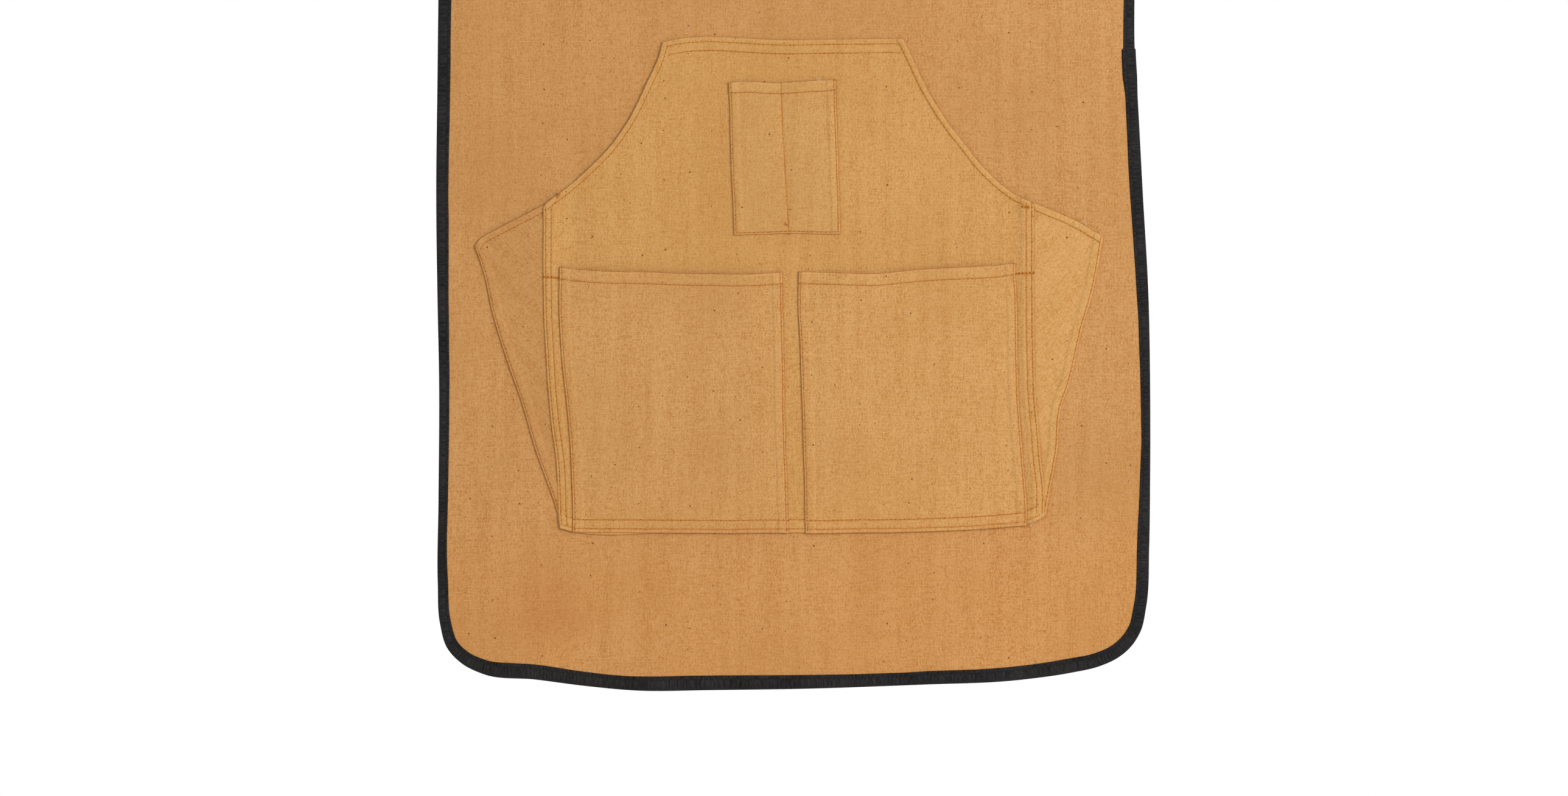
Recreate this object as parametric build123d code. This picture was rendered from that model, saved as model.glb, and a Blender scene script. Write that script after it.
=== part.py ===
from build123d import *
from math import asin, atan2, cos, degrees, hypot, pi, sin
import os

# A heavy canvas work apron hanging by its neck strap from a wall hook.
# Frame: origin at the centre of the hook plate's back face, +Z up, +X to the viewer's right, and the
# wall is the plane y = 0, so everything stands at negative y. Millimetres.

# ---- wall hook ----
plate_width, plate_height, plate_thickness = 30, 84, 3.5
plate_corner = 9
screw_spacing, screw_radius = 60, 2.25
arm_radius, arm_z = 4, -10
arm_reach, arm_bend, arm_rise = 54, 12, 12
collar_radius, collar_length = 7.5, 2
ball_radius, ball_socket = 7, 5

# ---- how the apron hangs ----
hang_y = -40
clearance = 0.3
strap_drop, tab_x = 280, 105

# ---- webbing ----
neck_width, strap_thickness = 25, 1.4
waist_width, waist_length = 25, 470
tail_length, tab_length = 38, 32

# ---- rings and slider ----
ring_wire, ring_half, ring_height, ring_corner = 1.75, 15.5, 14, 3
slider_wire, slider_half, slider_height, slider_s = 1.25, 15, 24, 78

# ---- cloth ----
cloth, tape, tape_width = 1.0, 0.6, 12
apron_height, side_height, bib_half, skirt_half = 860, 610, 135, 305
skirt_corner, hem_sag, armhole_sag = 55, 8, 45

# ---- pouch: a second, smaller apron shape sewn on the skirt, open at its two curved sides ----
pouch_bottom, pouch_top, pouch_top_half = 134, 556, 103
seam_x, seam_top_z = 206, 416
flap_top_x, flap_top_z, flap_bottom_x = 270, 382, 208
rise_height, pouch_gap = 22, 5.4

# ---- pockets on the pouch ----
pocket_gap = 5.2
pocket_inner_x, pocket_outer_x, pocket_top = 5, 195, 356
pencil_left, pencil_middle, pencil_right, pencil_bottom, pencil_top = -51, -4, 43, 388, 519
pencil_slope = 9

# ---- side release buckle ----
bar_radius, bar_half, cheek = 1.75, 13.8, 3
slot_height, buckle_thickness, plug_thickness = 5, 9.6, 5
socket_height, socket_wall = 32, 1.9
plug_base, prong_length = 8, 26

# ---- worked out from the above ----
lane = ring_wire + clearance + strap_thickness / 2
crown_radius = arm_radius + clearance + strap_thickness / 2
top_bar_z = arm_z - strap_drop
low_bar_z = top_bar_z - ring_height
hem_z = low_bar_z - ring_height - apron_height
back_y, front_y = hang_y + cloth / 2, hang_y - cloth / 2
patch_y = back_y + tape + clearance + strap_thickness / 2
waist_x = skirt_half - tape_width - neck_width + 4
waist_y = back_y + tape + 2 * clearance + buckle_thickness / 2
waist_top_z = hem_z + side_height - 8
patch_length = 30
bar_z = waist_top_z - patch_length - waist_length


def polyhedron(vertices, faces):
    """A solid with flat faces, each face a list of indices into the vertices."""
    return Solid(Shell([Face(Wire.make_polygon([vertices[i] for i in face])) for face in faces]))


def ribbon(stations, thickness=strap_thickness):
    """Webbing along the stations, each a centre point and the vector across the full width."""
    vertices = []
    for i, (centre, across) in enumerate(stations):
        before = stations[max(i - 1, 0)][0]
        after = stations[min(i + 1, len(stations) - 1)][0]
        normal = (after - before).cross(across).normalized() * (thickness / 2)
        half = across / 2
        vertices += [centre + half + normal, centre - half + normal]
        vertices += [centre - half - normal, centre + half - normal]
    faces = [[0, 1, 2, 3]]
    for i in range(len(stations) - 1):
        for k in range(4):
            a, b = 4 * i + k, 4 * i + (k + 1) % 4
            faces += [[a, b, b + 4], [a, b + 4, a + 4]]
    last = 4 * (len(stations) - 1)
    return polyhedron(vertices, faces + [[last + k for k in range(4)]])


def cloth_grid(rows):
    """Cloth of one thickness from rows of (x, z above the hem, distance in front of the panel)."""
    columns = len(rows[0])
    back = [Vector(x, front_y - d, hem_z + z) for row in rows for x, z, d in row]
    front = [v - Vector(0, cloth, 0) for v in back]
    count = len(back)
    faces, edge = [], []
    for r in range(len(rows) - 1):
        for c in range(columns - 1):
            a, b = r * columns + c, r * columns + c + 1
            up, across = a + columns, b + columns
            for tri in ([a, b, across], [a, across, up]):
                faces += [tri, [i + count for i in tri]]
    last = (len(rows) - 1) * columns
    edge += [(c, c + 1) for c in range(columns - 1)]
    edge += [(last + c, last + c + 1) for c in range(columns - 1)]
    edge += [(r * columns, (r + 1) * columns) for r in range(len(rows) - 1)]
    edge += [((r + 1) * columns - 1, (r + 2) * columns - 1) for r in range(len(rows) - 1)]
    faces += [[a, b, b + count, a + count] for a, b in edge]
    return polyhedron(back + front, faces)


def at(y):
    """A plane facing the viewer at this depth: sketches read as x and z."""
    return Plane.XZ.offset(-y)


def rod(start, end, radius):
    """A round bar between two points."""
    start, end = Vector(*start), Vector(*end)
    return Solid.make_cylinder(radius, (end - start).length, Plane(start, z_dir=end - start))


def box(x, y, z):
    """A block between two values on each axis."""
    size = [abs(pair[1] - pair[0]) for pair in (x, y, z)]
    middle = [sum(pair) / 2 for pair in (x, y, z)]
    return Pos(*middle) * Box(*size)


# ---------------------------------------------------------------- wall hook

def hook_plate():
    plate = extrude(at(0) * RectangleRounded(plate_width, plate_height, plate_corner), plate_thickness)
    front = plate.faces().sort_by(Axis.Y)[0]
    plate = fillet(front.edges(), 1.2)
    for side in (-1, 1):
        z = side * screw_spacing / 2
        plate -= rod((0, 1, z), (0, -plate_thickness - 1, z), screw_radius)
    return plate


def hook_arm():
    """A round arm on a welded collar: straight out, a bend, then up into the ball."""
    start = Vector(0, -plate_thickness, arm_z)
    turn = Vector(0, -arm_reach, arm_z)
    up = turn + Vector(0, -arm_bend, arm_bend)
    centre = turn + Vector(0, 0, arm_bend)
    middle = centre + Vector(0, -arm_bend * sin(pi / 4), -arm_bend * cos(pi / 4))
    path = Line(start, turn) + ThreePointArc(turn, middle, up) + Line(up, up + Vector(0, 0, arm_rise))
    arm = sweep(Plane(start, z_dir=(0, -1, 0)) * Circle(arm_radius), path=path)
    collar = rod(start, start - Vector(0, collar_length, 0), collar_radius)
    return arm + collar


def hook_tip():
    """The ball on the end of the arm, bored to take it."""
    top = Vector(0, -arm_reach - arm_bend, arm_z + arm_bend + arm_rise)
    centre = top + Vector(0, 0, ball_radius - ball_socket)
    ball = Pos(*centre) * Sphere(ball_radius)
    return ball - rod(top - Vector(0, 0, 2 * ball_radius), top, arm_radius)


# ---------------------------------------------------------------- neck strap, rings, slider

def smooth(t):
    """0 to 1 with level ends."""
    t = min(max(t, 0), 1)
    return t * t * (3 - 2 * t)


bar_distance = hypot(tab_x, strap_drop)
leg_angle = atan2(tab_x, strap_drop) - asin(crown_radius / bar_distance)
leg_length = (bar_distance**2 - crown_radius**2) ** 0.5
twist_length = 0.52 * leg_length


def leg_frame(side):
    """Start of one leg at the arm, its direction down, and the direction across it when flat."""
    start = Vector(side * crown_radius * cos(leg_angle), hang_y, arm_z + crown_radius * sin(leg_angle))
    down = Vector(side * sin(leg_angle), 0, -cos(leg_angle))
    flat = Vector(cos(leg_angle), 0, side * sin(leg_angle))
    return start, down, flat


def slider_weave(above_bar):
    """How far the right leg stands out as it passes over the slider's middle bar."""
    reach = slider_height / 2 - slider_wire - clearance
    rise = 2 * slider_wire + 2 * strap_thickness + 3 * clearance
    return rise * smooth((reach - abs(above_bar - slider_s)) / (reach - 1))


def leg_stops(side):
    """Distances down a leg at which its section is given, closer together at the slider."""
    steps = 32
    stops = [leg_length * i / (steps + 0.4) for i in range(1, steps + 1)]
    if side < 0:
        return stops
    half = slider_height / 2
    middle = leg_length - slider_s
    fine = [middle - half + i for i in range(slider_height + 1)]
    return sorted([s for s in stops if abs(s - middle) > half + 1] + fine)


def leg(side):
    """One leg from the arm to its ring: edge-on at the arm, a quarter twist, then flat."""
    start, down, flat = leg_frame(side)
    stations = []
    for s in leg_stops(side):
        turn = smooth(s / twist_length) * pi / 2
        above_bar = leg_length - s
        across = Vector(0, cos(turn), 0) - side * sin(turn) * flat
        skew = smooth(1 - above_bar / 45)
        across = across * (1 - skew) - Vector(side / cos(leg_angle), 0, 0) * skew
        depth = lane * smooth(s / twist_length)
        if side > 0:
            depth += slider_weave(above_bar)
        stations.append((start + down * s - Vector(0, depth, 0), across * neck_width))
    return stations


def ring_turn(side, steps=10):
    """The webbing round the ring's upper bar, from the front lane to the back one."""
    across = Vector(-side * neck_width / cos(leg_angle), 0, 0)
    centre = Vector(side * tab_x, hang_y, top_bar_z)
    turns = [pi * i / steps for i in range(steps + 1)]
    return [(centre + Vector(0, -lane * cos(a), -lane * sin(a)), across) for a in turns]


def tail(side, length):
    """The sewn or returning end, up behind its leg."""
    _, down, flat = leg_frame(side)
    start = Vector(side * tab_x, hang_y + lane, top_bar_z)
    stations = []
    steps = 8
    for i in range(1, steps + 1):
        s = length * i / steps
        skew = smooth(1 - s / 45)
        across = -side * (flat * (1 - skew) + Vector(1 / cos(leg_angle), 0, 0) * skew)
        stations.append((start - down * s, across * neck_width))
    return stations


def slider_point(above_bar, y):
    """A point on the right leg this far above the ring's bar, at depth y."""
    _, down, _ = leg_frame(1)
    return Vector(tab_x, y, top_bar_z) - down * above_bar


slider_y = hang_y - lane - slider_wire - clearance - strap_thickness / 2
wrap_radius = slider_wire + clearance + strap_thickness / 2


def slider_wrap():
    """The returning end comes forward and wraps the slider's middle bar."""
    _, _, flat = leg_frame(1)
    across = -neck_width * flat
    lead = [(slider_s - 10, hang_y + lane), (slider_s - 6, hang_y + lane * 0.4)]
    lead += [(slider_s - 2, slider_y + wrap_radius + 0.6)]
    arc = [pi * i / 8 for i in range(9)]
    lead += [(slider_s + wrap_radius * sin(a), slider_y + wrap_radius * cos(a)) for a in arc]
    return [(slider_point(s, y), across) for s, y in lead]


def neck_strap():
    """One length of webbing: sewn end, left ring, leg, arm, leg, slider, right ring, slider bar."""
    crown = []
    steps = 14
    first, last = pi - leg_angle, leg_angle
    for i in range(steps + 1):
        a = first + (last - first) * i / steps
        point = Vector(crown_radius * cos(a), hang_y, arm_z + crown_radius * sin(a))
        crown.append((point, Vector(0, neck_width, 0)))
    left = tail(-1, tail_length)[::-1] + ring_turn(-1)[::-1] + leg(-1)[::-1]
    right = leg(1) + ring_turn(1) + tail(1, slider_s - 16) + slider_wrap()
    return ribbon(left + crown + right)


def ring(side):
    """A rectangular wire ring with rounded corners."""
    middle_z = (top_bar_z + low_bar_z) / 2
    width = 2 * (ring_half + ring_wire)
    outline = at(hang_y) * Pos(side * tab_x, middle_z) * RectangleRounded(width, ring_height, ring_corner)
    start = Vector(side * tab_x, hang_y, top_bar_z)
    section = Plane(start, z_dir=(1, 0, 0)) * Circle(ring_wire)
    return sweep(section, path=outline.face().outer_wire())


def strap_slider():
    """Three bars between two side bars, lying on the right leg."""
    _, _, flat = leg_frame(1)
    half = flat * slider_half
    body = None
    for offset in (-slider_height / 2, 0, slider_height / 2):
        middle = slider_point(slider_s + offset, slider_y)
        bar = rod(middle - half, middle + half, slider_wire)
        body = bar if body is None else body + bar
    for side in (-1, 1):
        ends = [slider_point(slider_s + k * slider_height / 2, slider_y) + half * side for k in (-1, 1)]
        body += rod(ends[0], ends[1], slider_wire)
        for end in ends:
            body += Pos(*end) * Sphere(slider_wire)
    return body


def ring_tab(side):
    """A loop of webbing round the ring's lower bar, its ends sewn on the two faces of the bib."""
    across = Vector(neck_width, 0, 0)
    sewn = tape + cloth / 2 + 0.05 + strap_thickness / 2
    bib_top = hem_z + apron_height
    x = side * tab_x
    ends = [(sewn, bib_top - tab_length), (sewn, bib_top + 1)]
    down = [(Vector(x, hang_y - d, z), across) for d, z in ends]
    turns = [pi * i / 12 for i in range(13)]
    loop = [(Vector(x, hang_y - lane * cos(a), low_bar_z + lane * sin(a)), across) for a in turns]
    back = [(Vector(x, hang_y + d, z), across) for d, z in ends[::-1]]
    return ribbon(down + loop + back)


# ---------------------------------------------------------------- panel and binding

def panel_outline():
    """Bib, two armhole curves, straight sides, rounded lower corners and a slightly sagging hem."""
    bib_z, side_z = hem_z + apron_height, hem_z + side_height
    chord = Vector(bib_half - skirt_half, bib_z - side_z)
    inward = Vector(-chord.Y, chord.X).normalized()
    armhole = Vector((skirt_half + bib_half) / 2, (side_z + bib_z) / 2) + inward * armhole_sag
    low = hem_z + hem_sag
    outline = Line((skirt_half, low), (skirt_half, side_z))
    outline += ThreePointArc((skirt_half, side_z), (armhole.X, armhole.Y), (bib_half, bib_z))
    outline += Line((bib_half, bib_z), (-bib_half, bib_z))
    outline += ThreePointArc((-bib_half, bib_z), (-armhole.X, armhole.Y), (-skirt_half, side_z))
    outline += Line((-skirt_half, side_z), (-skirt_half, low))
    outline += ThreePointArc((-skirt_half, low), (0, hem_z), (skirt_half, low))
    face = make_face(outline)
    corners = face.vertices().group_by(Axis.Y)[0]
    return fillet(corners, skirt_corner)


def plate_of(sketch, back, thickness):
    """The sketch, drawn in x and z, as a plate whose back is at this depth."""
    return extrude(at(back) * sketch, thickness)


def bindings(panel_sketch):
    """Tape folded over the raw edge, in four lengths: skirt, two armholes and bib."""
    outer = offset(panel_sketch, tape, kind=Kind.INTERSECTION)
    inner = offset(panel_sketch, tape - tape_width, kind=Kind.INTERSECTION)
    full = plate_of(outer - inner, back_y + tape, cloth + 2 * tape) - plate_of(panel_sketch, back_y, cloth)
    far, deep = 400, (hang_y - 10, hang_y + 10)
    side_z, bib_z = hem_z + side_height, hem_z + apron_height - tape_width + tape
    skirt = full & box((-far, far), deep, (hem_z - far, side_z))
    left = full & box((-far, 0), deep, (side_z, bib_z))
    right = full & box((0, far), deep, (side_z, bib_z))
    top = full & box((-far, far), deep, (bib_z, bib_z + far))
    return skirt, left, right, top


# ---------------------------------------------------------------- pouch and pockets

def pouch_rise(z):
    """How far the pouch stands off the panel: nothing at its two sewn ends, full between them."""
    edge = min(z - pouch_bottom, pouch_top - z)
    return pouch_gap * min(1, max(edge, 0) / rise_height)


def pouch_front():
    """The middle of the pouch, with a curved hand opening on each side."""
    levels = (pouch_bottom, pouch_bottom + rise_height, pouch_top - rise_height, pouch_top)
    back = [(front_y - pouch_rise(z), hem_z + z) for z in levels]
    front = [(y - cloth, z) for y, z in back[::-1]]
    profile = make_face(Polyline(*back, *front, close=True))
    slab = extrude(Plane.YZ * profile, seam_x, both=True)
    low, seam_top, top = hem_z + pouch_bottom, hem_z + seam_top_z, hem_z + pouch_top
    outline = Line((-seam_x, low), (seam_x, low)) + Line((seam_x, low), (seam_x, seam_top))
    outline += Spline((seam_x, seam_top), (146, hem_z + 474), (pouch_top_half, top))
    outline += Line((pouch_top_half, top), (-pouch_top_half, top))
    outline += Spline((-pouch_top_half, top), (-146, hem_z + 474), (-seam_x, seam_top))
    outline += Line((-seam_x, seam_top), (-seam_x, low))
    return slab & plate_of(make_face(outline), hang_y, 2 * pouch_gap)


def pouch_side(side):
    """A bias-cut flap from the lapped seam, standing off, to its slanted edge, sewn down flat."""
    rows = []
    for z in (pouch_bottom, pouch_bottom + rise_height, 230, 310, flap_top_z):
        along = (z - pouch_bottom) / (flap_top_z - pouch_bottom)
        edge = flap_bottom_x + (flap_top_x - flap_bottom_x) * along
        inner_z = pouch_bottom + (seam_top_z - pouch_bottom) * along
        rows.append([(side * seam_x, inner_z, pouch_rise(inner_z)), (side * edge, z, 0)])
    return cloth_grid(rows)


def pocket(side):
    """A patch pocket on the pouch, sewn at both sides and below, open at the top."""
    inner, outer = side * pocket_inner_x, side * pocket_outer_x
    slope = side * rise_height * 0.8
    columns = ((inner, 0), (inner + slope, 1), (outer - slope, 1), (outer, 0))
    levels = ((pouch_bottom, 0), (pouch_bottom + rise_height, 1), (pocket_top, 1))
    rows = []
    for z, lift in levels:
        base = pouch_rise(z) + cloth
        rows.append([(x, z, base + pocket_gap * out * lift) for x, out in columns])
    return cloth_grid(rows)


def pencil_pocket():
    """Two narrow cells side by side, sewn at the sides, between them and below."""
    columns = [(pencil_left, 0), (pencil_left + pencil_slope, 1), (pencil_middle - pencil_slope, 1)]
    columns += [(pencil_middle, 0)]
    columns += [(pencil_middle + pencil_slope, 1), (pencil_right - pencil_slope, 1), (pencil_right, 0)]
    rows = []
    for z, lift in ((pencil_bottom, 0), (pencil_bottom + pencil_slope, 1), (pencil_top, 1)):
        rows.append([(x, z, pouch_gap + cloth + pocket_gap * out * lift) for x, out in columns])
    return cloth_grid(rows)


# ---------------------------------------------------------------- waist straps and buckle

def waist_strap(side):
    """Webbing sewn behind the skirt's top corner, hanging free, its end looped round a bar."""
    across = Vector(waist_width, 0, 0)
    x = side * waist_x
    top = waist_top_z
    lane_y = waist_y - lane
    line = [(patch_y, top), (patch_y, top - patch_length)]
    line += [(patch_y + (lane_y - patch_y) * smooth(k / 5), top - patch_length - 12 * k) for k in range(1, 6)]
    line += [(lane_y, bar_z + 120), (lane_y, bar_z + 40)]
    turns = [pi * i / 10 for i in range(11)]
    line += [(waist_y - lane * cos(a), bar_z - lane * sin(a)) for a in turns]
    line += [(waist_y + lane, bar_z + tail_length)]
    return ribbon([(Vector(x, y, z), across) for y, z in line])


def buckle_bar(x, thickness):
    """The bar that the webbing goes round, between two cheeks, above a slot."""
    bar = rod((x - bar_half, waist_y, bar_z), (x + bar_half, waist_y, bar_z), bar_radius)
    deep = (waist_y - thickness / 2, waist_y + thickness / 2)
    low = bar_z - bar_radius - slot_height
    for side in (-1, 1):
        edges = (x + side * bar_half, x + side * (bar_half + cheek))
        bar += box(edges, deep, (low, bar_z + bar_radius))
    return bar, low


def buckle_plug():
    """The half with two springy prongs and a guide between them."""
    x = -waist_x
    plug, low = buckle_bar(x, plug_thickness)
    half = bar_half + cheek
    deep = (waist_y - plug_thickness / 2, waist_y + plug_thickness / 2)
    plug += box((x - half, x + half), deep, (low - plug_base, low))
    root, tip = low - plug_base, low - plug_base - prong_length
    for side in (-1, 1):
        outline = [(4.5, root), (5, root - 12), (9, tip + 1), (12, tip + 4), (13.5, root - 15)]
        outline += [(10.2, root - 13), (9.5, root)]
        points = [(x + side * dx, z) for dx, z in outline]
        plug += plate_of(make_face(Polyline(*points, close=True)), deep[1] - 0.5, plug_thickness - 1)
    plug += box((x - 1.5, x + 1.5), deep, (root - prong_length + 6, root))
    return plug


def buckle_socket():
    """The half with the mouth, open below, and a window on each side for the prongs."""
    x = waist_x
    socket, low = buckle_bar(x, buckle_thickness)
    half = bar_half + cheek
    deep = (waist_y - buckle_thickness / 2, waist_y + buckle_thickness / 2)
    body = box((x - half, x + half), deep, (low - socket_height, low))
    body = fillet(body.edges().filter_by(Axis.Z), 2.2)
    mouth = half - 2.2
    hollow = (deep[0] + socket_wall, deep[1] - socket_wall)
    body -= box((x - mouth, x + mouth), hollow, (low - socket_height - 1, low - 4))
    window = (low - 19, low - 9)
    body -= box((x - half - 1, x + half + 1), hollow, window)
    return socket + body


# ---------------------------------------------------------------- write the pieces

panel_sketch = panel_outline()
skirt_binding, left_binding, right_binding, bib_binding = bindings(panel_sketch)
nodes = {
    "hook_plate": hook_plate(),
    "hook_arm": hook_arm(),
    "hook_tip": hook_tip(),
    "neck_strap": neck_strap(),
    "ring_left": ring(-1),
    "ring_right": ring(1),
    "strap_slider": strap_slider(),
    "ring_tab_left": ring_tab(-1),
    "ring_tab_right": ring_tab(1),
    "body_panel": plate_of(panel_sketch, back_y, cloth),
    "binding_skirt": skirt_binding,
    "binding_armhole_left": left_binding,
    "binding_armhole_right": right_binding,
    "binding_bib_top": bib_binding,
    "pouch_front": pouch_front(),
    "pouch_side_left": pouch_side(-1),
    "pouch_side_right": pouch_side(1),
    "pocket_left": pocket(-1),
    "pocket_right": pocket(1),
    "pencil_pocket": pencil_pocket(),
    "waist_strap_left": waist_strap(-1),
    "waist_strap_right": waist_strap(1),
    "buckle_plug": buckle_plug(),
    "buckle_socket": buckle_socket(),
}
os.makedirs("parts", exist_ok=True)
for name, shape in nodes.items():
    export_step(shape, f"parts/{name}.step")
print("hem z", hem_z, "leg angle", round(degrees(leg_angle), 2), "leg length", round(leg_length, 1))
print("waist strap bar z", bar_z, "y", waist_y, "x", waist_x)
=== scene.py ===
import math

import bpy
import numpy as np
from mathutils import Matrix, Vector


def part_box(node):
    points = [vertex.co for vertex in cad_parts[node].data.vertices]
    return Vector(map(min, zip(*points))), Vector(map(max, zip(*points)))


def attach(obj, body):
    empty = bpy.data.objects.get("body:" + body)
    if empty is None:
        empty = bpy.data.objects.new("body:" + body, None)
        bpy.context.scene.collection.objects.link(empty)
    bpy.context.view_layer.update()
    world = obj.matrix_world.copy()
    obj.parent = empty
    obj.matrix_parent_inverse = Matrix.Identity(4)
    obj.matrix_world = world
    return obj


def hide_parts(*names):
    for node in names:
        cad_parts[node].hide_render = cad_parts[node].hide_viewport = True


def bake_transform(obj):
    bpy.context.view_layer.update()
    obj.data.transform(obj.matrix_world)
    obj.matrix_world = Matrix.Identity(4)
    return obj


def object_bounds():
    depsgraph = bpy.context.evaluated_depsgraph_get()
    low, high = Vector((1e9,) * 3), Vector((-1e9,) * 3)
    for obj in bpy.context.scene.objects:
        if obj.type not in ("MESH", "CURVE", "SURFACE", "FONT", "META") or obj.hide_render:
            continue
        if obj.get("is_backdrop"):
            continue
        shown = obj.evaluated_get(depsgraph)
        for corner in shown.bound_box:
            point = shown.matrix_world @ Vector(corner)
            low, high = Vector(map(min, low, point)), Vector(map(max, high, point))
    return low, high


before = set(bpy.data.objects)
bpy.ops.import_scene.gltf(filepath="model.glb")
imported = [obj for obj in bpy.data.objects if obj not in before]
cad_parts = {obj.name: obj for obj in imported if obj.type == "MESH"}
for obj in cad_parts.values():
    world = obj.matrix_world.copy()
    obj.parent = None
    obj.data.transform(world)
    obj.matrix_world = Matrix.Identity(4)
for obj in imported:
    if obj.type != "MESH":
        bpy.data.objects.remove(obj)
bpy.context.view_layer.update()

# Lengths are in millimetres. Cloth is laid out as it is seen from the front: x to the viewer's right, height
# above the hem, and depth towards the viewer from the panel's front face. Meshes are made in metres.
MM = 0.001
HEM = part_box("body_panel")[0].z / MM
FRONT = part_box("body_panel")[0].y / MM
CLOTH = 0.95
FOLD = 0.85
TAPE_SHELL = 0.6
BIB_TOP = 860
SIDE_TOP = 610


# ---- small mathematics

def smooth(t):
    """0 to 1 with level ends."""
    t = np.clip(t, 0, 1)
    return t * t * (3 - 2 * t)


def puff(t):
    """0 to 1, steep at first and level at the end: how cloth lifts from a sewn edge."""
    return np.sin(np.clip(t, 0, 1) * math.pi / 2)


def bell(t):
    return np.exp(-np.square(t))


def noise(x, z, scale, seed):
    """Smooth lumps of about this size, from -1 to 1."""
    grid = np.random.default_rng(seed).uniform(-1, 1, (97, 97))
    u, v = np.asarray(x) / scale + 40.5, np.asarray(z) / scale + 20.5
    i, j = np.floor(u).astype(int), np.floor(v).astype(int)
    fu, fv = smooth(u - i), smooth(v - j)
    a, b = grid[i % 97, j % 97], grid[(i + 1) % 97, j % 97]
    c, d = grid[i % 97, (j + 1) % 97], grid[(i + 1) % 97, (j + 1) % 97]
    return (a * (1 - fu) + b * fu) * (1 - fv) + (c * (1 - fu) + d * fu) * fv


def lengths(line):
    steps = np.linalg.norm(np.diff(line, axis=0), axis=1)
    return np.concatenate([[0], np.cumsum(steps)])


def resample(line, shares):
    """Points of the line at these shares of its length."""
    s = lengths(line)
    at = np.asarray(shares) * s[-1]
    return np.stack([np.interp(at, s, line[:, k]) for k in range(line.shape[1])], axis=-1)


def evenly(line, count):
    return resample(line, np.linspace(0, 1, count))


def through(points, count=300):
    """A smooth line through a few points, as evenly spaced samples."""
    p = np.array(points, float)
    size = np.linalg.norm(np.diff(p, axis=0), axis=1)[:, None]
    slope = np.diff(p, axis=0) / size
    turn = (size[:-1] * slope[1:] + size[1:] * slope[:-1]) / (size[:-1] + size[1:])
    turn = np.vstack([slope[:1], turn, slope[-1:]])
    t = np.linspace(0, 1, 24, endpoint=False)[:, None]
    parts = []
    for a, b, out, back, h in zip(p, p[1:], turn, turn[1:], size):
        parts.append(a + (b - a) * t**2 * (3 - 2 * t) + h * (out * t * (1 - t)**2 - back * t**2 * (1 - t)))
    return evenly(np.vstack(parts + [p[-1:]]), count)


def joined(*lines, count=300):
    return evenly(np.vstack([lines[0]] + [part[1:] for part in lines[1:]]), count)


def unit(vectors):
    return vectors / np.maximum(np.linalg.norm(vectors, axis=1, keepdims=True), 1e-9)


def rightward(line):
    """Unit vectors square to a line of (x, height) points, to the right of the way it goes."""
    ahead = unit(np.gradient(line, axis=0))
    return np.stack([ahead[:, 1], -ahead[:, 0]], -1)


def wobble(line, amount, scale, seed):
    """A hand-cut edge: the line wanders a little between its ends."""
    s = lengths(line)
    hold = smooth(s / 10) * smooth((s[-1] - s) / 10)
    return line + rightward(line) * (amount * hold * noise(s, 0 * s + 9.0 * seed, scale, seed))[:, None]


def away(points, line):
    """How far each point is from a line."""
    a, b = line[:-1], line[1:]
    span = b - a
    size = np.maximum(np.sum(span * span, axis=1), 1e-9)
    best = np.empty(len(points))
    for first in range(0, len(points), 4000):
        p = points[first:first + 4000, None]
        t = np.clip(np.sum((p - a) * span, axis=2) / size, 0, 1)
        gap = p - a - span * t[..., None]
        best[first:first + 4000] = np.sqrt(np.min(np.sum(gap * gap, axis=2), axis=1))
    return best


# ---- how the panel hangs

def hang(x, z):
    """The panel's own slow waves, always towards the viewer, fading out at the bib."""
    low = np.clip(1 - z / (BIB_TOP - 60), 0, 1)
    edge = np.clip(1 - z / 130, 0, 1) ** 2
    wave = 1.1 * (1 + np.sin(x / 66 + 0.8 + z / 300)) + 0.8 * (1 + np.sin(x / 39 - z / 210 + 2))
    ripple = 1.1 * edge * (1 + np.sin(x / 21 + 0.6 * noise(x, z, 90, 5)))
    lumps = 1.2 + 0.9 * noise(x, z, 110, 1) + 0.3 * noise(x, z, 38, 2)
    return low * (wave + ripple + lumps)


def panel_front(x, z):
    """Depth of the panel's front face."""
    return hang(x, z) + lumps_of(x, z, 11)


def lumps_of(x, z, seed):
    """Small uneven places that every piece of heavy cloth has."""
    return 0.22 * noise(x, z, 30, seed) + 0.09 * noise(x, z, 13, seed + 1)


# ---- making meshes

def facing(points):
    """From x, height above the hem and depth to the row frame."""
    return np.stack([points[:, 0], FRONT - points[:, 2], HEM + points[:, 1]], axis=-1)


def solid(name, points, faces, materials, slots=None, tone=None, strap=None):
    """A mesh object. Tone is how worn each point is, with painted highlight and painted shade on it; strap is
    its place across and along tape.
    """
    mesh = bpy.data.meshes.new(name)
    mesh.from_pydata((points * MM).tolist(), [], faces)
    mesh.update()
    mesh.shade_smooth()
    for material in materials:
        mesh.materials.append(material)
    if slots is not None:
        mesh.polygons.foreach_set("material_index", slots)
    if tone is not None:
        mesh.attributes.new("tone", "FLOAT", "POINT").data.foreach_set("value", tone.astype(np.float32))
    if strap is not None:
        corner = np.empty(len(mesh.loops), dtype=np.int32)
        mesh.loops.foreach_get("vertex_index", corner)
        mesh.uv_layers.new(name="strap").data.foreach_set("uv", strap[corner].astype(np.float32).ravel())
    obj = bpy.data.objects.new(name, mesh)
    bpy.context.scene.collection.objects.link(obj)
    return obj


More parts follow.
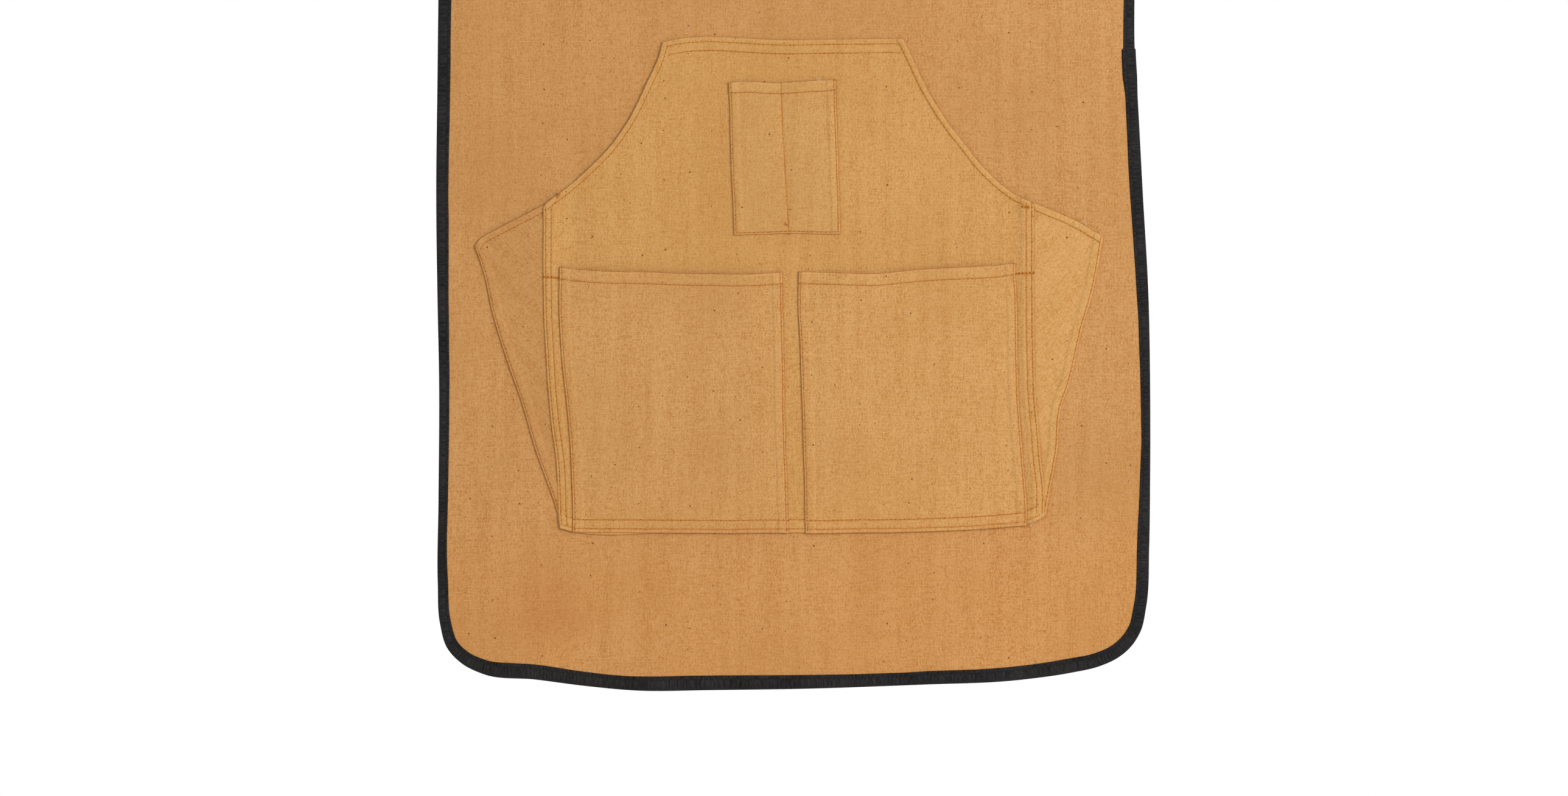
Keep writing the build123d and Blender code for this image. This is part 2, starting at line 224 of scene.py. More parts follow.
def tube_faces(count, sides):
    """Faces round a tube of rings, and its two ends."""
    i, k = np.meshgrid(np.arange(count - 1), np.arange(sides), indexing="ij")
    j = (k + 1) % sides
    faces = np.stack([i * sides + k, i * sides + j, (i + 1) * sides + j, (i + 1) * sides + k], -1)
    ends = [list(range(sides))[::-1], list(range((count - 1) * sides, count * sides))]
    return faces.reshape(-1, 4).tolist() + ends


# ---- a piece of cloth

NEAR = [0, .1, .25, .5, .9, 1.4, 1.9, 2.5, 3.2, 4, 4.7, 5.4, 6.2, 6.9, 7.7, 8.6, 9.5, 10.3, 11, 11.8, 13, 15]
INWARD = {"left": 1, "right": -1, "bottom": -1, "top": 1}


class Patch:
    """Cloth between four edges, its mesh lines close together near them, lying on something else."""

    def __init__(self, left, right, bottom, top, lies_at, step=4.0, near=NEAR, seed=0):
        self.edges = {"left": left, "right": right, "bottom": bottom, "top": top}
        self.lies_at, self.seed = lies_at, seed
        # dark: for each edge, how strongly painted shade darkens the cloth along it.
        self.bands, self.rows, self.dark = [], [], {}
        widths = np.linalg.norm(right - left, axis=1)
        heights = np.linalg.norm(top - bottom, axis=1)
        across = max(4, int((widths.max() - 2 * near[-1]) / step))
        up = max(4, int((heights.max() - 2 * near[-1]) / step))
        v0 = self.spread(near, heights.mean(), up)
        u0 = self.spread(near, widths.mean(), across)
        shares = np.linspace(0, 1, len(left))
        u = np.stack([self.spread(near, w, across) for w in np.interp(v0, shares, widths)])
        v = np.stack([self.spread(near, h, up) for h in np.interp(u0, shares, heights)], axis=1)
        self.shape = u.shape
        self.points = self.coons(u, v).reshape(-1, 2)

    @staticmethod
    def spread(near, size, inner):
        """Shares from 0 to 1: close together at both ends and even between."""
        first = np.array(near) * min(1 / size, 0.44 / near[-1])
        last = 1 - first[::-1]
        return np.concatenate([first, np.linspace(first[-1], last[0], inner + 2)[1:-1], last])

    def coons(self, u, v):
        def at(side, t):
            line = self.edges[side]
            t = np.clip(t, 0, 1) * (len(line) - 1)
            i = np.minimum(t.astype(int), len(line) - 2)
            return line[i] + (line[i + 1] - line[i]) * (t - i)[..., None]

        uu, vv = u[..., None], v[..., None]
        left, right = self.edges["left"], self.edges["right"]
        sides = (1 - uu) * at("left", v) + uu * at("right", v)
        ends = (1 - vv) * at("bottom", u) + vv * at("top", u)
        corners = ((1 - uu) * (1 - vv) * left[0] + uu * (1 - vv) * right[0]
                   + (1 - uu) * vv * left[-1] + uu * vv * right[-1])
        return sides + ends - corners

    def band(self, side, width, layers=1, line=None):
        """A hem or seam allowance folded behind an edge makes the cloth thicker along it."""
        self.bands.append((side, width, layers, line))

    def sew(self, side, distance, trim=(2, 2), line=None):
        """A stitch row at this distance from an edge, short of its ends by the trims."""
        line = self.edges[side] if line is None else line
        row = line + rightward(line) * INWARD[side] * distance
        total = lengths(row)[-1]
        self.rows.append(resample(row, np.linspace(trim[0] / total, 1 - trim[1] / total, 160)))
        return self.rows[-1]

    def measure(self, points):
        """Anywhere on the piece: the depth of its middle, half its thickness, rounded off at the edges,
        its dip at the stitches, its full thickness, and how far the nearest and each edge is."""
        gaps = {side: away(points, evenly(line, 110)) for side, line in self.edges.items()}
        thick = np.full(len(points), CLOTH)
        for side, width, layers, line in self.bands:
            gap = gaps[side] if line is None else away(points, evenly(line, 60))
            thick = thick + FOLD * layers * smooth((width + 1.1 - gap) / 2.2)
        dip = np.zeros(len(points))
        self.stitched = np.full(len(points), 99.0)
        for row in self.rows:
            gap = away(points, evenly(row, 60))
            dip = dip - 0.26 * bell(gap / 0.8) + 0.12 * noise(*points.T, 7.5, 31) * bell(gap / 4)
            self.stitched = np.minimum(self.stitched, gap)
        nearest = np.min(list(gaps.values()), axis=0)
        turn = np.clip(nearest / (0.5 * thick), 0, 1)
        half = 0.5 * thick * np.sqrt(1 - (1 - turn) ** 2)
        middle = self.lies_at(points, gaps) + 0.5 * thick
        return middle, half, dip * smooth(nearest / 1.2), thick, nearest, gaps

    def front(self, points):
        """Depth of the front face at any points."""
        middle, half, dip, *_ = self.measure(points)
        return middle + half + dip

    def mesh(self, name, material, shade_and_light_patches=()):
        rows, columns = self.shape
        count = rows * columns
        middle, half, dip, thick, nearest, gaps = self.measure(self.points)
        grid = np.arange(count).reshape(rows, columns)
        edge = np.zeros((rows, columns), bool)
        edge[0], edge[-1], edge[:, 0], edge[:, -1] = True, True, True, True
        half[edge.ravel()] = 0
        inner = ~edge.ravel()
        behind = grid.copy()
        behind[~edge] = count + np.arange(inner.sum())
        front = np.column_stack([self.points, middle + half + dip])
        rear = np.column_stack([self.points, middle - half])[inner]
        faces = []
        for g, turned in ((grid, False), (behind, True)):
            a, b, c, d = g[:-1, :-1], g[:-1, 1:], g[1:, 1:], g[1:, :-1]
            faces += np.stack((a, d, c, b) if turned else (a, b, c, d), axis=-1).reshape(-1, 4).tolist()
        tone = self.tone(thick, nearest, gaps, shade_and_light_patches)
        return solid(name, facing(np.vstack([front, rear])), faces, [material],
                     tone=np.concatenate([tone, tone[inner] * 0.3]))

    def tone(self, thick, nearest, gaps, shade_and_light_patches):
        """Paler on folds and hems, from wear and painted highlight; painted shade along stitch rows and at
        the undercut edge; and patches of painted shade and light.
        """
        x, z = self.points.T
        # Paler across hem bands and along folded edges: rubbed wear, and painted highlight where the raised
        # fold catches the light.
        tone = 0.12 * (thick / CLOTH - 1) * (1 + 0.8 * noise(x, z, 16, self.seed + 7))
        tone = tone + (0.14 + 0.14 * noise(x, z, 9, self.seed + 8)) * bell((nearest - 1.1) / 0.8)
        # Painted shade in the groove along each stitch row, ramped towards orange-brown.
        tone = tone - 0.31 * bell(self.stitched / 0.5) - 0.03 * bell(self.stitched / 1.8)
        for side, gap in gaps.items():
            # Painted shade along the piece's own edges, standing in for the shadow beside and under a raised
            # edge; each side's strength is its dark value.
            tone = tone - self.dark.get(side, 0.0) * bell(gap / 0.42)
        # Round patches of painted shade (darker) and painted light (paler) for slow folds and soft creases in
        # the cloth.
        for px, pz, radius, amount in shade_and_light_patches:
            tone = tone + amount * bell(np.hypot(x - px, z - pz) / radius)
        return tone


# ---- materials

class Nodes:
    """A material's node tree, built by short calls."""

    def __init__(self, name):
        self.material = bpy.data.materials.new(name)
        self.material.use_nodes = True
        self.tree = self.material.node_tree
        self.shader = self.tree.nodes["Principled BSDF"]

    def add(self, kind, **settings):
        node = self.tree.nodes.new(kind)
        for key, value in settings.items():
            setattr(node, key, value)
        return node

    def put(self, socket, value):
        if isinstance(value, bpy.types.NodeSocket):
            self.tree.links.new(value, socket)
        else:
            socket.default_value = value

    def math(self, operation, a, b=0.0, c=0.0):
        node = self.add("ShaderNodeMath", operation=operation)
        for socket, value in zip(node.inputs, (a, b, c)):
            self.put(socket, value)
        return node.outputs[0]

    def mul(self, a, b):
        return self.math("MULTIPLY", a, b)

    def muladd(self, a, b, c):
        return self.math("MULTIPLY_ADD", a, b, c)

    def sine(self, angle):
        return self.math("SINE", angle)

    def mix(self, factor, a, b, kind="MIX"):
        node = self.add("ShaderNodeMix", data_type="RGBA", blend_type=kind)
        self.put(node.inputs["Factor"], factor)
        self.put(node.inputs[6], a)
        self.put(node.inputs[7], b)
        return node.outputs[2]

    def noise(self, vector, scale, detail=2.0, rough=0.5):
        node = self.add("ShaderNodeTexNoise")
        self.put(node.inputs["Vector"], vector)
        node.inputs["Scale"].default_value = scale
        node.inputs["Detail"].default_value = detail
        node.inputs["Roughness"].default_value = rough
        return node.outputs["Fac"]

    def stretched(self, first, second, third, detail=2.0, rough=0.5):
        """Noise in a space whose axes are each a number, or a socket with its own scale."""
        axes = [self.mul(*axis) if isinstance(axis, tuple) else axis for axis in (first, second, third)]
        return self.noise(self.join(*axes), 1.0, detail, rough)

    def specks(self, along, across, cell, least, most, ragged):
        """Ragged spots, at most one to a cell; sizes in millimetres, and none where the size is negative."""
        node = self.add("ShaderNodeTexVoronoi", voronoi_dimensions="2D")
        self.put(node.inputs["Vector"], self.join(self.mul(along, 1 / cell),
                                                  self.mul(across, 1 / cell), 0.0))
        node.inputs["Scale"].default_value = 1.0
        size = self.muladd(self.split(node.outputs["Color"])[0], most - least, least)
        gap = self.muladd(ragged, 0.9, self.mul(node.outputs["Distance"], cell))
        return self.ramp(self.math("SUBTRACT", size, gap), -0.65, -0.15)

    def ramp(self, value, low, high, a=0.0, b=1.0):
        node = self.add("ShaderNodeMapRange", interpolation_type="SMOOTHSTEP")
        keys = ("Value", "From Min", "From Max", "To Min", "To Max")
        for key, number in zip(keys, (value, low, high, a, b)):
            self.put(node.inputs[key], number)
        return node.outputs[0]

    def bump(self, height, strength, distance):
        node = self.add("ShaderNodeBump")
        node.inputs["Strength"].default_value = strength
        node.inputs["Distance"].default_value = distance
        self.put(node.inputs["Height"], height)
        return node.outputs["Normal"]

    def place(self):
        return self.add("ShaderNodeTexCoord").outputs["Object"]

    def split(self, vector):
        node = self.add("ShaderNodeSeparateXYZ")
        self.put(node.inputs[0], vector)
        return node.outputs

    def join(self, x, y, z):
        node = self.add("ShaderNodeCombineXYZ")
        for socket, value in zip(node.inputs, (x, y, z)):
            self.put(socket, value)
        return node.outputs[0]

    def finish(self, colour, roughness, normal, sheen=0.0, metal=0.0, specular=0.5):
        self.put(self.shader.inputs["Base Color"], colour)
        self.put(self.shader.inputs["Roughness"], roughness)
        self.put(self.shader.inputs["Normal"], normal)
        self.shader.inputs["Sheen Weight"].default_value = sheen
        self.shader.inputs["Sheen Roughness"].default_value = 0.5
        self.shader.inputs["Metallic"].default_value = metal
        self.shader.inputs["Specular IOR Level"].default_value = specular
        return self.material


def times(colour, red, green, blue):
    return [min(colour[0] * red, 1), min(colour[1] * green, 1), min(colour[2] * blue, 1), 1]


def scaled(colour, amount):
    return times(colour, amount, amount, amount)


ROW_PITCH, BEAD_PITCH = 1.23, 1.06
RIB = 1.1
# Specks in the canvas: cell, least and most size, strength, and their colour next to the cloth's.
SPECKS = ((21, -0.7, 0.85, 0.9, (0.26, 0.17, 0.13)), (8.5, -1.0, 0.5, 0.6, (0.40, 0.28, 0.20)),
          (13, -1.2, 0.6, 0.55, (1.35, 1.65, 2.4)))


def canvas(name, tint, bias=0.0, contrast=1.0):
    """Heavy plain-weave duck: weft rows crossed by finer warp beads, uneven yarn, neps and pale flecks."""
    n = Nodes(name)
    place = n.place()
    x, _, z = n.split(place)
    c, s = math.cos(math.radians(bias)), math.sin(math.radians(bias))
    along = n.muladd(z, 1000 * s, n.mul(x, 1000 * c))
    across = n.muladd(z, 1000 * c, n.mul(x, -1000 * s))
    uneven = n.muladd(n.noise(place, 60, 2), 2.2, n.mul(n.noise(place, 260, 1), 1.1))
    weft = n.muladd(across, 1 / ROW_PITCH, uneven)
    row = n.math("FLOOR", weft)
    warp = n.muladd(along, 1 / BEAD_PITCH, n.mul(n.noise(place, 180, 2), 1.6))
    warp = n.muladd(row, 0.5, warp)
    over = n.sine(n.mul(n.math("FRACT", weft), math.pi))
    round_bead = n.sine(n.mul(n.math("FRACT", warp), math.pi))
    lump = n.mul(n.muladd(over, 0.7, 0.3), n.muladd(round_bead, 0.6, 0.4))
    grain = n.stretched((warp, 0.9), (row, 5.73), 0.0, 2, 0.7)
    pick = n.stretched((along, 0.09), 0.0, (row, 7.31))
    end = n.stretched((across, 0.06), 3.0, (along, 1.1))
    streak = n.stretched((along, 0.11), 5.0, (across, 0.006))
    mottle = n.stretched((along, 0.7), 7.0, (across, 0.36), 3, 0.7)
    fuzz = n.noise(place, 1500, 2, 0.6)
    # The lump term makes the bead tops paler and the joints between rows darker: partly the yarn's own look,
    # partly painted highlight and shade. The other terms are uneven yarn.
    level = n.muladd(grain, 1.2, n.mul(lump, 0.62))
    level = n.math("ADD", level, n.muladd(pick, 0.45, n.mul(end, 0.53)))
    level = n.math("ADD", level, n.muladd(mottle, 0.95, n.mul(streak, 0.34)))
    level = n.muladd(fuzz, 0.35, level)
    dark, light = times(tint, 0.76, 0.62, 0.36), times(tint, 1.16, 1.34, 1.84)
    colour = n.mix(n.ramp(level, 2.17 - 0.35 / contrast, 2.17 + 0.35 / contrast), dark, light)
    colour = n.mix(n.ramp(n.noise(place, 11, 2), 0.3, 0.7, 0, 0.35), colour, scaled(tint, 0.88))
    colour = n.mix(n.ramp(z, -1.10, -0.97, 1.0, 0.0), colour, [1.03, 0.99, 0.93, 1], "MULTIPLY")
    for cell, least, most, strength, spot in SPECKS:
        mark = n.specks(n.math("ADD", along, 3 * cell), across, cell, least, most, fuzz)
        colour = n.mix(n.mul(mark, strength), colour, times(tint, *spot))
    # Tone above zero turns paler for wear and painted highlight; below zero it turns orange-brown, then dark
    # brown, for painted shade.
    tone = n.add("ShaderNodeAttribute", attribute_name="tone").outputs["Fac"]
    colour = n.mix(n.ramp(tone, 0.0, 1.0), colour, times(tint, 1.36, 1.62, 2.1))
    colour = n.mix(n.ramp(tone, 0.0, -0.5), colour, times(tint, 0.76, 0.49, 0.22))
    colour = n.mix(n.ramp(tone, -0.5, -1.0), colour, times(tint, 0.28, 0.14, 0.08))
    height = n.math("ADD", n.muladd(fuzz, 0.4, lump), n.mul(grain, 0.9))
    return n.finish(colour, n.muladd(fuzz, 0.1, 0.85), n.bump(height, 0.5, 0.0002),
                    sheen=0.1, specular=0.3)


def tape(name, shade):
    """Black ribbed cotton tape: a rib each 1.1 mm across it, painted paler on their crests and darker between
    them as light and shade.
    """
    n = Nodes(name)
    place = n.place()
    across, along, _ = n.split(n.add("ShaderNodeUVMap", uv_map="strap").outputs[0])
    rib = n.muladd(n.sine(n.mul(along, 2 * math.pi / RIB)), 0.5, 0.5)
    fuzz = n.noise(place, 1500, 2, 0.6)
    cloud = n.noise(place, 30, 2)
    cord = n.stretched((along, 0.9), (across, 0.15), 0.0, 1)
    # The rib term makes the crests paler and the valleys darker: painted light and shade on the ribs.
    tone = n.muladd(rib, 0.4, n.mul(fuzz, 0.8))
    tone = n.muladd(cloud, 0.5, n.muladd(cord, 1.1, tone))
    colour = n.mix(n.ramp(tone, 0.9, 2.0), scaled(shade, 0.3), scaled(shade, 2.9))
    lint = n.ramp(n.noise(place, 800, 1), 0.79, 0.84, 0, 0.5)
    colour = n.mix(lint, colour, [0.16, 0.15, 0.13, 1])
    height = n.muladd(fuzz, 0.35, rib)
    return n.finish(colour, 0.85, n.bump(height, 0.8, 0.0003), sheen=0.02, specular=0.12)


def webbing(name, shade):
    """Black strap woven in a chevron, with cords along it."""
    n = Nodes(name)
    across, along, _ = n.split(n.add("ShaderNodeUVMap", uv_map="strap").outputs[0])
    fold = n.math("PINGPONG", n.math("ADD", across, 100.0), 4.0)
    twill = n.sine(n.muladd(along, 2 * math.pi / 1.9, n.mul(fold, 3.1)))
    cord = n.sine(n.mul(across, 2 * math.pi / 1.25))
    height = n.muladd(twill, 0.5, n.mul(cord, 0.4))
    fuzz = n.noise(n.join(across, along, 0.0), 1.4, 2)
    # Colour follows the weave's height: paler on the raised twill and cords and darker in the hollows, which
    # is painted light and shade.
    tone = n.muladd(height, 0.4, n.muladd(fuzz, 0.7, 0.2))
    colour = n.mix(n.ramp(tone, 0.0, 1.1), scaled(shade, 0.4), scaled(shade, 2.2))
    normal = n.bump(n.muladd(fuzz, 0.3, height), 0.9, 0.0003)
    return n.finish(colour, n.muladd(fuzz, 0.15, 0.55), normal, sheen=0.1, specular=0.35)


def thread(name, dark, light):
    """Sewing thread: two tones of one colour with a fine twist."""
    n = Nodes(name)
    place = n.place()
    twist = n.noise(place, 2200, 1)
    slow = n.noise(place, 150, 1)
    colour = n.mix(n.muladd(slow, 0.5, n.mul(twist, 0.5)), dark, light)
    return n.finish(colour, n.muladd(twist, 0.2, 0.5), n.bump(twist, 0.4, 0.0001), sheen=0.04,
                    specular=0.25)


def steel(name):
    """Satin nickel plate, rubbed and faintly scratched."""
    n = Nodes(name)
    place = n.place()
    wear = n.noise(place, 220, 3)
    colour = n.mix(n.ramp(wear, 0.45, 0.75), [0.66, 0.64, 0.60, 1], [0.46, 0.45, 0.43, 1])
    rough = n.muladd(n.noise(place, 900, 2), 0.2, 0.2)
    return n.finish(colour, rough, n.bump(wear, 0.12, 0.0001), metal=1.0)


def powder_coat(name):
    """Black powder coat with an orange-peel skin and a little dust."""
    n = Nodes(name)
    place = n.place()
    peel = n.noise(place, 1100, 2)
    dust = n.noise(place, 60, 3)
    colour = n.mix(n.ramp(dust, 0.4, 0.7), [0.018, 0.018, 0.019, 1], [0.034, 0.034, 0.035, 1])
    return n.finish(colour, n.muladd(dust, 0.2, 0.36), n.bump(peel, 0.35, 0.0002))


def beech(name):
    """Oiled beech with growth rings and short pores."""
    n = Nodes(name)
    x, y, z = n.split(n.place())
    rings = n.stretched((x, 260), (y, 260), (z, 35), 3)
    pores = n.stretched((x, 3000), (y, 3000), (z, 300), 1)
    colour = n.mix(n.ramp(rings, 0.35, 0.65), [0.50, 0.29, 0.13, 1], [0.34, 0.17, 0.07, 1])
    colour = n.mix(n.ramp(pores, 0.62, 0.72, 0, 0.5), colour, [0.16, 0.08, 0.03, 1])
    return n.finish(colour, n.muladd(rings, 0.2, 0.35), n.bump(pores, 0.2, 0.0001))


def moulded(name):
    """Moulded black acetal with a fine spark-eroded texture."""
    n = Nodes(name)
    place = n.place()
    grain = n.noise(place, 2200, 2)
    swirl = n.noise(place, 90, 2)
    colour = n.mix(swirl, [0.016, 0.016, 0.017, 1], [0.026, 0.026, 0.027, 1])
    return n.finish(colour, n.muladd(grain, 0.2, 0.38), n.bump(grain, 0.35, 0.00008))


TAN = [0.564, 0.257, 0.0690, 1]
CANVAS = {"body": canvas("canvas_body", TAN),
          "pouch": canvas("canvas_pouch", times(TAN, 1.047, 1.105, 1.03)),
          "pocket_left": canvas("canvas_pocket_left", times(TAN, 1.03, 1.07, 1.05)),
          "pocket_right": canvas("canvas_pocket_right", times(TAN, 1.05, 1.10, 1.08)),
          "pencil": canvas("canvas_pencil", times(TAN, 1.058, 1.14, 1.14), -3),
          # The left flap is tinted darker and the right flap lighter: painted shade and painted light for how
          # each flap slants towards the light.
          "flap_left": canvas("canvas_flap_left_shaded", times(TAN, 0.955, 0.955, 0.93), 43, 0.9),
          "flap_right": canvas("canvas_flap_right_lit", times(TAN, 1.08, 1.155, 1.10), -43, 0.9)}
BLACK = [0.0150, 0.0140, 0.0138, 1]
TAPE = tape("black_tape", BLACK)
WEBBING = webbing("black_webbing", BLACK)
RUST = [thread("rust_thread", [0.50, 0.160, 0.006, 1], [0.64, 0.225, 0.011, 1]),
        # The second finish colours the needle-hole discs: painted shade for the dark inside each hole.
        thread("needle_hole_shade", [0.23, 0.068, 0.003, 1], [0.34, 0.104, 0.006, 1]),
        thread("orange_thread", [0.46, 0.13, 0.02, 1], [0.64, 0.24, 0.05, 1]),
        thread("raw_cotton", [0.60, 0.45, 0.26, 1], [0.80, 0.66, 0.45, 1])]
BLACK_THREAD = [thread("black_thread", [0.006, 0.006, 0.006, 1], [0.013, 0.013, 0.014, 1])]
NICKEL = steel("satin_nickel")
COAT = powder_coat("powder_coat")
BEECH = beech("oiled_beech")
PLASTIC = moulded("black_acetal")


# ---- thread

STITCH = 3.8
THREAD_RADIUS = 0.24
STRAND_SIDES = 6
ARCH = np.array([-0.24, 0.06, 0.20, 0.24, 0.20, 0.06, -0.24])
TAPER = np.array([0.75, 0.95, 1, 1.03, 1, 0.95, 0.75])


class Thread:
    """Collects stitches, needle holes drawn as dark discs of painted shade, and loose ends, and makes them
    one piece.
    """

    def __init__(self, seed, needle=1.0):
        self.points, self.faces, self.slots, self.count = [], [], [], 0
        self.needle = needle
        self.random = np.random.default_rng(seed)

    def take(self, points, faces, slot):
        self.points.append(points)
        self.faces += [[i + self.count for i in face] for face in faces]
        self.slots += [slot] * len(faces)
        self.count += len(points)

    def strand(self, line, radii, slot):
        ahead = unit(np.gradient(line, axis=0))
        out = unit(np.array([0, 0, 1.0]) - ahead * ahead[:, 2:3])
        side = np.cross(ahead, out)
        turns = np.arange(STRAND_SIDES) * 2 * math.pi / STRAND_SIDES
        ring = out[:, None] * np.cos(turns)[:, None] + side[:, None] * np.sin(turns)[:, None]
        points = (line[:, None] + ring * np.asarray(radii)[:, None, None]).reshape(-1, 3)
        self.take(points, tube_faces(len(line), STRAND_SIDES), slot)

    def run(self, line, pitch=STITCH, out=1.0, holes=True):
        """Stitches along a line on the cloth, each dipping into a needle hole at both ends."""
        count = max(1, round(lengths(line)[-1] / pitch))
        for i in range(count):
            near, far = self.random.normal(0, 0.02, 2)
            part = resample(line, np.linspace((i + 0.10 + near) / count, (i + 0.90 + far) / count, 7))
            ahead = part[-1] - part[0]
            square = np.array([-ahead[1], ahead[0], 0]) / max(np.hypot(ahead[0], ahead[1]), 1e-9)
            part = part + np.linspace(-1, 1, 7)[:, None] * square * self.random.normal(0.10, 0.05)
            part[:, 2] += out * ARCH * self.random.uniform(0.7, 1.1)
            self.strand(part, THREAD_RADIUS * TAPER * self.random.uniform(0.85, 1.1), 0)
        for i in range(count + 1 if holes else 0):
            self.hole(resample(line, [i / count])[0], out)

    # A small dark disc on the cloth at a needle hole: painted shade for the hole's dark inside.
    def hole(self, place, out):
        turns = np.arange(8) * math.pi / 4
        size = self.random.uniform(0.50, 0.80) * self.needle
        ring = np.stack([np.cos(turns), np.sin(turns), 0 * turns], -1) * size
        rim, low = place + ring + [0, 0, out * 0.10], place + ring * 0.4 + [0, 0, out * 0.04]
        faces = [[k, (k + 1) % 8, 8 + (k + 1) % 8, 8 + k] for k in range(8)] + [list(range(8, 16))]
        self.take(np.vstack([rim, low]), faces, 1)

    def loose(self, points, radius=0.2, slot=2):
        self.strand(through(points, 24), np.full(24, radius), slot)

    def piece(self, name, materials):
        return solid(name, facing(np.vstack(self.points)), self.faces, materials, slots=self.slots)


def on(patch, row):
    """A stitch row laid on the front of a patch."""
    return np.column_stack([row, patch.front(row)])


def behind_panel(row):
    """The same row where it shows on the back of the panel."""
    return np.column_stack([row, panel_front(*row.T) - CLOTH])


# ---- the panel and its binding

LEFT = [(-301, SIDE_TOP), (-302, 520), (-303, 420), (-302, 340), (-300.4, 256), (-301, 160), (-301.5, 90),
        (-299.6, 56), (-293, 34)]
LOW = [(-281, 21.5), (-262, 12.2), (-218, 7.6), (-176, 2), (-134, -1.8), (-71, -1.6), (54, 1), (116, 3.2),
       (200, 7.5), (242, 13.4), (266, 19), (282, 26.5), (292.5, 35.5)]
RIGHT = [(300.6, 48), (305.8, 70), (308.4, 120), (309.2, 180), (309.2, 256), (307.8, 335), (303, 423),
         (298.6, 506), (296.2, 545), (296, SIDE_TOP)]
SKIRT_LINE = through(LEFT + LOW + RIGHT, 2400)
HALFWAY = 1200
corner_left = np.argmin(np.abs(SKIRT_LINE[:HALFWAY, 1] - 34))
corner_right = HALFWAY + np.argmin(np.abs(SKIRT_LINE[HALFWAY:, 1] - 35))
LEFT_SIDE, HEM_LINE, RIGHT_SIDE = np.split(SKIRT_LINE, [corner_left, corner_right])
LEFT_SIDE = LEFT_SIDE[::-1]
HEM_LINE = np.vstack([LEFT_SIDE[:1], HEM_LINE, RIGHT_SIDE[:1]])
ARMHOLE_SAG = 45
EDGE_IN = 1.0
BIB_X = 134.5


def armhole(side, start):
    """The concave curve from the top of the side to the bib."""
    start, end = np.array(start), np.array([side * BIB_X, BIB_TOP - 1.0])
    chord = end - start
    square = np.array([chord[1], -chord[0]]) * -side / np.linalg.norm(chord)
    t = np.linspace(0, 1, 200)[:, None]
    return start + chord * t + square * 4 * ARMHOLE_SAG * t * (1 - t)


ARM_LEFT, ARM_RIGHT = armhole(-1, LEFT_SIDE[-1]), armhole(1, RIGHT_SIDE[-1])
BIB_LINE = through([(-BIB_X, BIB_TOP - 1.0), (BIB_X, BIB_TOP - 1.0)])
# Patches of painted shade and painted light on the panel: x, height, radius, and how much darker or paler.
SHADE_AND_LIGHT_PATCHES = [(-205, 62, 42, -0.14), (-255, 95, 60, -0.05), (-120, 70, 50, -0.03), (20, 70, 90, 0.05),
        (150, 95, 60, 0.04)]


def inset(line, side):
    return line + rightward(line) * INWARD[side] * EDGE_IN


left_edge = inset(joined(LEFT_SIDE, ARM_LEFT, count=900), "left")
right_edge = inset(joined(RIGHT_SIDE, ARM_RIGHT, count=900), "right")
body = Patch(left_edge, right_edge, inset(evenly(HEM_LINE, 900), "bottom"),
             inset(evenly(BIB_LINE, 900), "top"),
             lambda p, gaps: panel_front(*p.T) - CLOTH, step=5.0, near=[0, 1.5, 4, 8, 12], seed=3)
panel = body.mesh("apron_panel", CANVAS["body"], SHADE_AND_LIGHT_PATCHES)

# Across the folded tape, from its lip on the front round the edge to its lip on the back: how far in as a
# share of the width, or in millimetres near the fold, and how far it stands off the cloth.
TAPE_SECTION = [(1.0, 0.26), (0.985, 0.5), (0.93, 0.66), (0.85, 0.66), (0.79, 0.56), (0.73, 0.26),
                (0.67, 0.56), (0.6, 0.7), (0.42, 0.74)]
TAPE_FOLD = [(2.2, 0.70), (1.0, 0.58), (0.4, 0.36), (0.1, 0.12)]
GROOVE = 5
# How far a tape's ends stand out or tuck in where two tapes cross at a corner.
CROSSING = {"left": -0.8, "right": -0.8, "top": 0.7, "bottom": 0.7}
NO_JOINT = -99.0


